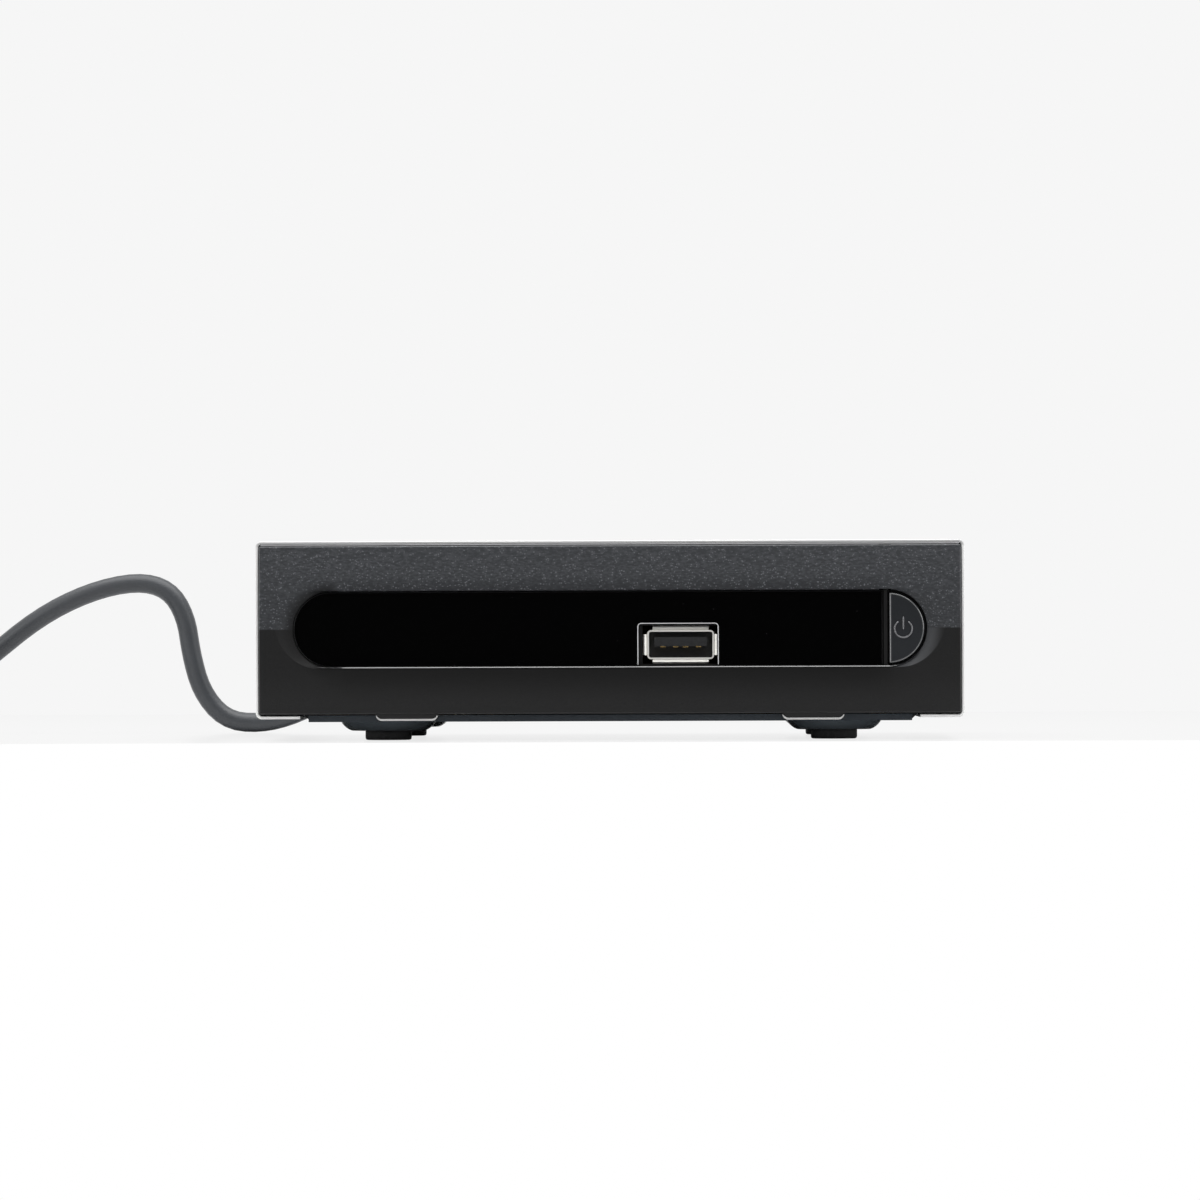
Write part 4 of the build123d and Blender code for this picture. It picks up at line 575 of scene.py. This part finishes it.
# Window: a plate of black acrylic snapped into the slot from the front, polished, with a few specks of dust and the
# faint smears of a cloth on it. Its edges are bevelled, and round the notch for the data port they are painted near
# white as a highlight.
window = Finish("window_plastic", (0.0008, 0.0008, 0.0009), 0.03)
window_smear = window.grain(0.018, 3.0, (0.3, 1, 1))
window_specks = window.place.node("ShaderNodeTexVoronoi", {"feature": "F1"}, {"Vector": window.place, "Scale": 420.0})
window_dust = (1 - window_specks.ease(0.02, 0.05)) * window.grain(0.006, 1.0).ease(0.55, 0.6)
window_cut = window.place.axis("Y").band(-0.05613, -0.05594, 0.00002)
window_z = window.place.axis("Z")
window_across = window.place.axis("X").band(-0.0006, 0.0284, 0.0001)
window_notch = window_across * window_z.ease(0.0147, 0.0149) * (1 - window_z.ease(0.0252, 0.0255))
# Painted highlight: the bevelled edges are painted near white round the notch and barely elsewhere.
window_edge_painted_highlight = window_cut * (0.03 + window_notch * 0.97)
window_face = (window_dust * 0.5).pick((0.0008, 0.0008, 0.0009, 1), (0.05, 0.05, 0.052, 1))
window.feed("Base Color", window_edge_painted_highlight.pick(window_face, (0.95, 0.95, 0.96, 1)))
window.feed("Roughness", 0.03 + window_smear.ease(0.5, 0.8) * 0.05 + window_dust * 0.3 + window_edge_painted_highlight * 0.4)
dress(window, "lens")

# Power button: a half-round cap in satin dark plastic, hollow behind, guided by the slot's end; its flange keeps it in
# and its stem meets the switch. Its edge is rounded and glossy, painted paler than the cap as a sheen, and a raised
# ring with a bar stands on its face.
button_black = moulded("button_plastic", (0.021, 0.023, 0.026), 0.3, 0.0004, 0.000008, 0.15, Specular_IOR_Level=0.25)
dress(button_black, "power_button")
mark_centre = (0.0576, -0.05645, 0.02165)
mark_radius = 0.00172
cap_radius = 0.0069
cap_flat = 0.0549
cap_front = -0.05645
cap_round = 0.0003


def cap_edge_grid():
    """The rounded edge of the half-round cap. An outline at inset d is the circle of radius R - d as far as it reaches
    past the line x = flat + d, closed by that line; a quarter round takes d from its radius to 0 and the depth from 0
    to its radius, and the section closes inside the cap."""
    turn = np.linspace(0, radians(90), 9)
    inset = np.concatenate([[cap_round + 0.0001], cap_round * (1 - np.sin(turn)), [0.00005, cap_round + 0.0001]])
    depth = np.concatenate([[0.00002], cap_round * (1 - np.cos(turn)), [cap_round + 0.0001, cap_round]])
    depth[1:3] -= 0.00001
    radius = cap_radius - inset + 0.00001
    line = cap_flat + inset - 0.00001
    limit = np.arccos((line - slot_centre) / radius)
    round_part = np.linspace(-1, 1, 90)[:, None] * limit
    along = np.linspace(1, -1, 42)[1:-1, None]
    x = np.concatenate([slot_centre + radius * np.cos(round_part), line + 0 * along])
    z = np.concatenate([radius * np.sin(round_part), radius * np.sin(limit) * along]) + slot_height
    y = np.broadcast_to(cap_front + depth, x.shape)
    grid = np.stack([x, y, z], axis=-1)
    return np.concatenate([grid, grid[:, :1]], axis=1)


# The edge is the cap's plastic painted paler as a sheen; its gloss and coat are real.
cap_edge_painted_sheen = moulded(
    "button_edge_painted_sheen", (0.06, 0.062, 0.066), 0.14, 0.0004, 0.000002, 0.1, Coat_Weight=1.0, Specular_IOR_Level=1.0
)
skin("cap_edge", cap_edge_grid(), cap_edge_painted_sheen, "button")
mark_half = 0.00017
mark_height = 0.00014
mark_silver = plated("mark_silver", (0.22, 0.22, 0.23), 0.24)


def ridge(name, line, ahead):
    """A low rounded ridge on the button's face: a section (s, h) with s across from -1 to 1 and height (1 - s^4) is
    carried along a line, and its ends fall to the face over the last steps."""
    across = np.linspace(-1, 1, 9)
    steps = len(line)
    fall = np.clip(np.minimum(np.arange(steps), np.arange(steps)[::-1]) / 2.0, 0, 1) ** 0.5
    sideways = np.stack([-ahead[:, 1], ahead[:, 0]], axis=1)
    width = mark_half * (0.35 + 0.65 * fall)
    flat = line[None] + sideways[None] * (across[:, None] * width)[..., None]
    lift = mark_height * (1 - across[:, None] ** 4) * fall
    top = np.stack([flat[..., 0], mark_centre[1] - lift, flat[..., 1]], axis=-1)
    under = top[::-1].copy()
    under[..., 1] = mark_centre[1] + 0.0002
    skin(name, np.concatenate([top, under]), mark_silver, "button")


ring_angle = np.linspace(radians(125), radians(415), 60)
ring_line = np.stack(
    [mark_centre[0] + mark_radius * np.cos(ring_angle), mark_centre[2] + mark_radius * np.sin(ring_angle)], axis=1
)
ridge("power_ring", ring_line, np.stack([-np.sin(ring_angle), np.cos(ring_angle)], axis=1))
bar_rise = np.linspace(mark_centre[2] - 0.0001, mark_centre[2] + 0.0024, 14)
bar_line = np.stack([np.full(len(bar_rise), mark_centre[0]), bar_rise], axis=1)
ridge("power_bar", bar_line, np.tile([0.0, 1.0], (len(bar_rise), 1)))

# Cover: one sheet of steel folded round the top and sides, painted satin slate, slotted with vents, turned in below and
# screwed at the rear. The sheet is cut after painting, so its front edge is bare and bright, and under the top that
# edge is folded back on itself. Along the top the bare edge is painted darker as shade.
cover_front = -0.05595
cover = Finish("cover_paint", (0.036, 0.038, 0.043), 0.34)
spray(cover, 0.00004)
cover_bare = 1 - cover.place.axis("Y").ease(cover_front + 0.00018, cover_front + 0.00026)
cover_lines = cover.grain(0.0002, 3.0, (0.1, 1, 0.1))
cover_clouds = cover.grain(0.02, 2.0)
cover_speckle = cover.grain(0.0006, 2.0)
cover_tone = (cover_clouds * 0.6 + cover_speckle * 0.4).ease(0.35, 0.65)
cover_paint = cover_tone.pick((0.031, 0.033, 0.037, 1), (0.043, 0.045, 0.051, 1))
# Painted shade: the bare edge along the top is darker than down the sides.
cover_top_edge_painted_shade = cover.place.axis("Z").ease(0.0378, 0.0386)
cover_steel_painted_shade = cover_top_edge_painted_shade.pick((0.88, 0.88, 0.87, 1), (0.56, 0.56, 0.56, 1))
cover.feed("Base Color", cover_bare.pick(cover_paint, cover_steel_painted_shade))
cover.feed("Metallic", cover_bare * 0.5)
cover.feed("Roughness", 0.32 + cover_clouds * 0.06 + cover_bare * cover_lines * 0.2 + cover_bare * 0.08)
dress(cover, "top_cover")
hem_half = 0.0686
hem_rear = -0.0508
hem_front = -0.05575
hem_height = 0.03847
hem_round = 0.00014


def hem_grid():
    """The cover's front edge folded back on itself under the top: a section (y, z) with a round nose, carried across
    the box and drawn together to a point at both ends."""
    nose = np.linspace(-90, 90, 9) * np.pi / 180
    y = np.concatenate([[hem_rear], hem_front - hem_round * np.cos(nose), [hem_rear]])
    z = hem_height + hem_round * np.concatenate([[-1], np.sin(nose), [1]])
    across = np.array([-1, -1, -0.5, 0, 0.5, 1, 1]) * hem_half
    closed = np.array([0, 1, 1, 1, 1, 1, 0])
    section = np.stack([y, z], axis=-1)[:, None]
    middle = section.mean(axis=0, keepdims=True)
    placed = middle + (section - middle) * closed[None, :, None]
    return np.concatenate([np.broadcast_to(across[None, :, None], (len(y), len(across), 1)), placed], axis=-1)


hem_steel = plated("hem_steel", (0.46, 0.46, 0.47), 0.5, (0.1, 1, 1))
skin("cover_hem", hem_grid(), hem_steel, "housing")
cover_fixings = [(x, 0.04775, 0.0358) for x in (-0.055, 0.0, 0.055)]
cover_screw = (0.0028, 0.0018, 0.00118, 0.0059)
screws("cross_screws_cover", cover_fixings, rearward, cover_screw, "cover_screws")


# Cord gland, tie and plug: a black nylon gland clips into the rear panel and tapers off in soft ribs, a flat tie holds
# the coil, and the lead ends in a moulded two-pin plug with ribbed grips and half-sleeved pins.
def ribbed_taper(start, end, root, tip, ribs, depth):
    """Profile of a strain relief: radius runs evenly from root to tip, less a groove depth times a squared-off cosine
    of the place between ribs."""
    along = np.linspace(0, 1, ribs * 16 + 1)
    wave = np.clip(0.5 + 1.3 * np.cos(2 * np.pi * ribs * along), 0, 1)
    radius = root + (tip - root) * along - depth * (1 - wave)
    return list(zip(radius, start + (end - start) * along))


gland_black = moulded("gland_nylon", (0.014, 0.015, 0.017), 0.4, 0.0003, 0.00001, 0.2)
gland_place = (-0.052, 0.0, 0.0165)
gland_profile = [(0, 0.04435), (0.0048, 0.04435), (0.005, 0.0446), (0.005, 0.0463), (0.004, 0.04635), (0.004, 0.0471)]
gland_profile += [(0.0053, 0.04715), (0.0056, 0.0474), (0.0056, 0.0487), (0.0053, 0.04905)]
gland_profile += ribbed_taper(0.0491, 0.06895, 0.0042, 0.0029, 6, 0.0007) + [(0.0026, 0.069), (0, 0.06905)]
skin("gland_moulding", turned(gland_profile, gland_place, "y"), gland_black, "housing", ("cord_gland",))
plug_pvc = moulded("plug_pvc", (0.03, 0.034, 0.04), 0.42, 0.0004, 0.00002, 0.15)
dress(plug_pvc, "coil_tie")
plug_place = (-0.2082, 0.0, 0.0074)
relief_profile = [(0, 0.01335), (0.0025, 0.0133)] + ribbed_taper(0.0132, -0.0046, 0.0027, 0.0034, 6, 0.0005)
relief_profile += [(0.0033, -0.0047), (0, -0.0047)]
skin("plug_taper", turned(relief_profile, plug_place, "y"), plug_pvc, "housing", ("plug_relief",))
plug_rear = -0.0047
plug_front = -0.0267
plug_neck = (0.0065, 0.0045)
plug_shoulder = (0.01765, 0.00685)
plug_inset = 0.00025
plug_squareness = 3.2
plug_full = 0.72
plug_sides = 96
grip_start = 0.12
grip_depth = 0.00022
grips_in_plug = 11


def plug_grid():
    """Cross-sections of a flat plug along Y: a superellipse |x / a|^n + |z / b|^n = 1, n the squareness. Its half width
    a and half height b grow from the cord to the shoulder and stay so to the face, with grip ribs a hair deep."""
    along = np.concatenate([[0, 0.0], np.linspace(0.01, 0.99, 60), [1.0, 1.0]])
    y = plug_rear + along * (plug_front - plug_rear)
    swell = np.clip(along / plug_full, 0, 1)
    swell = swell * swell * (3 - 2 * swell)
    gripped = (along > grip_start) & (along < plug_full)
    grip = grip_depth * np.clip(np.cos(along * 2 * np.pi * grips_in_plug), -0.3, 1) * gripped
    half_width, half_height = [
        neck + (shoulder - neck) * swell - plug_inset + grip for neck, shoulder in zip(plug_neck, plug_shoulder)
    ]
    edge = np.ones(len(along))
    edge[[1, -2]] = 0.97
    edge[[0, -1]] = 0
    angle = np.arange(plug_sides)[:, None] * 2 * np.pi / plug_sides
    corner = 2 / plug_squareness
    x = np.sign(np.cos(angle)) * np.abs(np.cos(angle)) ** corner * half_width * edge
    z = np.sign(np.sin(angle)) * np.abs(np.sin(angle)) ** corner * half_height * edge
    return np.stack([x, np.broadcast_to(y, x.shape), z], axis=-1) + np.array(plug_place)


skin("plug_moulding", plug_grid(), plug_pvc, "housing", ("plug_body",))
pin_metal = Finish("pin_nickel", (0.66, 0.64, 0.6), 0.2, 1.0)
pin_metal.relief(pin_metal.grain(0.0003, 3.0), 0.000006)
pin_sleeve = 1 - (0 - pin_metal.place.axis("Y")).ease(0.0366, 0.0368)
pin_metal.feed("Base Color", pin_sleeve.pick((0.66, 0.64, 0.6, 1), (0.014, 0.014, 0.016, 1)))
pin_metal.feed("Metallic", 1 - pin_sleeve)
pin_metal.feed("Roughness", 0.2 + pin_sleeve * 0.2 + pin_metal.grain(0.001, 2.0) * 0.06)
pin_profile = [(0, -0.0265), (0.00195, -0.0266), (0.00195, -0.0365), (0.002, -0.0368), (0.002, -0.0441)]
pin_profile += [(0.0018, -0.0450), (0.0013, -0.0455), (0, -0.0457)]
pin_offset = 0.0093
pins = []
for side, offset in (("left", -pin_offset), ("right", pin_offset)):
    pin_grid = turned(pin_profile, (plug_place[0] + offset, 0, plug_place[2]), "y", 32)
    pins.append(skin(f"plug_pin_{side}", pin_grid, pin_metal, "housing"))
join("plug_round_pins", pins, "plug_pins")

# Mains lead: one thin twin-core flex in dark grey PVC. It drops from the gland to the table, stands up in a short hump
# where it was folded in its packing, and the rest is wound up in two layers and tied.
lead_diameter = 0.0042
lead_exit = (-0.052, 0.06905, 0.0165)
lead_fall = [
    lead_exit,
    (-0.052, 0.07755, 0.0165),
    (-0.0545, 0.086, 0.0146),
    (-0.061, 0.0915, 0.0096),
    (-0.0695, 0.0936, 0.0044),
    (-0.078, 0.094, 0.002),
    (-0.086, 0.0942, 0.0027),
    (-0.0913, 0.0944, 0.0088),
    (-0.0936, 0.0946, 0.017),
    (-0.0947, 0.0949, 0.0252),
    (-0.0983, 0.0955, 0.0313),
    (-0.1052, 0.0968, 0.0333),
    (-0.116, 0.0991, 0.0311),
    (-0.1275, 0.1017, 0.0256),
    (-0.139, 0.1043, 0.0165),
    (-0.15, 0.1068, 0.008),
    (-0.161, 0.109, 0.0027),
    (-0.173, 0.109, 0.0027),
]
coil_centre = (-0.1772, 0.078)
coil_radius = 0.031
coil_pitch = 0.0047
coil_layers = (0.0027, 0.0074)
halves_in = 5
halves_out = 4
points_in_half = 8
tail_length = 0.060


def coil_points():
    """Half turns whose radius falls by half a pitch each on the way in and grows by it on the way out. A half turn
    has points at (k + 1/2) / 8 of 180 degrees, on a circle so much larger that the smooth line has the radius."""
    points = []
    start = np.array([coil_centre[0], coil_centre[1] + coil_radius])
    heading = -1.0
    angle = (np.arange(points_in_half) + 0.5) * np.pi / points_in_half
    outside = 1 / np.cos(np.pi / points_in_half / 2)
    for half in range(halves_in + 1 + halves_out):
        steps_in = min(half, 2 * halves_in - half)
        radius = coil_radius - steps_in * coil_pitch / 2
        across = 1.0 if half % 2 else -1.0
        height = np.full(points_in_half, coil_layers[int(half > halves_in)])
        if half == halves_in:
            height = np.interp(angle / np.pi, (0, 1), coil_layers)
        x = start[0] + heading * radius * outside * np.sin(angle)
        y = start[1] + across * radius * (1 - outside * np.cos(angle))
        points.append(np.stack([x, y, height], axis=1))
        start = start + np.array([0, across * 2 * radius])
        heading = -heading
    quarter = (np.arange(points_in_half // 2) + 0.5) * np.pi / points_in_half
    x = start[0] + heading * coil_radius * outside * np.sin(quarter)
    y = start[1] - coil_radius * (1 - outside * np.cos(quarter))
    points.append(np.stack([x, y, np.full(len(quarter), coil_layers[1])], axis=1))
    end = start + np.array([heading * coil_radius, -coil_radius])
    tail = [(end[0], end[1] - tail_length * share, coil_layers[1]) for share in (0.15, 0.6, 1.0)]
    return np.concatenate(points + [np.array(tail)])


lead_points = np.concatenate([np.array(lead_fall), coil_points()])
lead_curve = bpy.data.curves.new("lead", "CURVE")
lead_curve.dimensions = "3D"
lead_curve.bevel_depth = lead_diameter / 2
lead_curve.bevel_resolution = 4
lead_curve.resolution_u = 4
lead_curve.use_fill_caps = True
lead_line = lead_curve.splines.new("NURBS")
lead_line.points.add(len(lead_points) - 1)
lead_line.points.foreach_set("co", np.column_stack([lead_points, np.ones(len(lead_points))]).ravel())
lead_line.order_u = 3
lead_line.use_endpoint_u = True
lead = bpy.data.objects.new("lead", lead_curve)
bpy.context.scene.collection.objects.link(lead)
lead_pvc = moulded("lead_pvc", (0.045, 0.049, 0.055), 0.4, 0.0004, 0.00003, 0.15)
lead_curve.materials.append(lead_pvc.material)
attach(lead, "housing")
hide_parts("mains_cord", "mains_coil")


# White studio: a glossy white table top, a paper backdrop that the world stands for, a softbox overhead, one on each
# side, and a black cloth behind the camera that keeps the window of the box dark.
def stage_sheet(name, corners):
    """A flat four-cornered sheet that belongs to the stage and not to the object."""
    mesh = bpy.data.meshes.new(name)
    mesh.from_pydata(corners, [], [(0, 1, 2, 3)])
    sheet = bpy.data.objects.new(name, mesh)
    bpy.context.scene.collection.objects.link(sheet)
    return sheet


def softbox(name, place, turn, width, length, watts):
    """A rectangular lamp, turned by three angles in degrees."""
    lamp = bpy.data.objects.new(name, bpy.data.lights.new(name, "AREA"))
    lamp.data.shape = "RECTANGLE"
    lamp.data.size = width
    lamp.data.size_y = length
    lamp.data.energy = watts
    lamp.location = place
    lamp.rotation_euler = [radians(part) for part in turn]
    bpy.context.scene.collection.objects.link(lamp)


table_front = -0.0863
table_rear = 0.583
table_half = 1.2
apron_drop = 0.6
table = stage_sheet(
    "table",
    [
        (-table_half, table_front, 0),
        (table_half, table_front, 0),
        (table_half, table_rear, 0),
        (-table_half, table_rear, 0),
    ],
)


def ray(tree, kind):
    """1 on rays of a kind, such as those from the camera, and 0 on the others."""
    return Wire(tree, tree.nodes.new("ShaderNodeLightPath").outputs[f"Is {kind} Ray"])


def lit_white(name, roughness, share, strength):
    """White that keeps the object's shadow, with a share of even light added on camera rays."""
    finish = Finish(name, (0.9, 0.9, 0.9), roughness)
    light = finish.tree.nodes.new("ShaderNodeEmission")
    light.inputs["Strength"].default_value = strength
    mix = finish.tree.nodes.new("ShaderNodeMixShader")
    finish.tree.links.new((ray(finish.tree, "Camera") * share).socket, mix.inputs[0])
    finish.tree.links.new(finish.shader.outputs[0], mix.inputs[1])
    finish.tree.links.new(light.outputs[0], mix.inputs[2])
    finish.tree.links.new(mix.outputs[0], finish.tree.nodes["Material Output"].inputs["Surface"])
    return finish


table.data.materials.append(lit_white("table_white", 0.15, 0.85, 0.907).material)
apron = stage_sheet(
    "table_apron",
    [
        (-table_half, table_front, -apron_drop),
        (table_half, table_front, -apron_drop),
        (table_half, table_front, 0),
        (-table_half, table_front, 0),
    ],
)
apron.data.materials.append(lit_white("apron_white", 0.6, 1.0, 1.0).material)
cloth = stage_sheet("black_card", [(-0.36, -1.5, -0.2), (-0.36, -1.5, 0.22), (0.36, -1.5, 0.22), (0.36, -1.5, -0.2)])
cloth.visible_camera = False
cloth.data.materials.append(Finish("card_black", (0.001, 0.001, 0.001), 1.0).material)

softbox("softbox_top", (0.0, -0.1, 1.1), (-4, 0, 0), 1.9, 1.2, 22)
softbox("softbox_left", (-1.3, -0.6, 0.35), (0, -76, 0), 0.8, 0.8, 4)
softbox("softbox_right", (1.3, -0.6, 0.35), (0, 76, 0), 0.8, 0.8, 4)
world = bpy.data.worlds.new("studio")
world.use_nodes = True
bpy.context.scene.world = world
sky = world.node_tree
shown = ray(sky, "Camera").larger(ray(sky, "Glossy")).larger(ray(sky, "Transmission"))
paper = shown.pick((0.2, 0.2, 0.205, 1), (0.922, 0.922, 0.922, 1))
sky.links.new(paper.socket, sky.nodes["Background"].inputs["Color"])
sky.nodes["Background"].inputs["Strength"].default_value = 1.0

bpy.context.scene.view_settings.view_transform = "Standard"
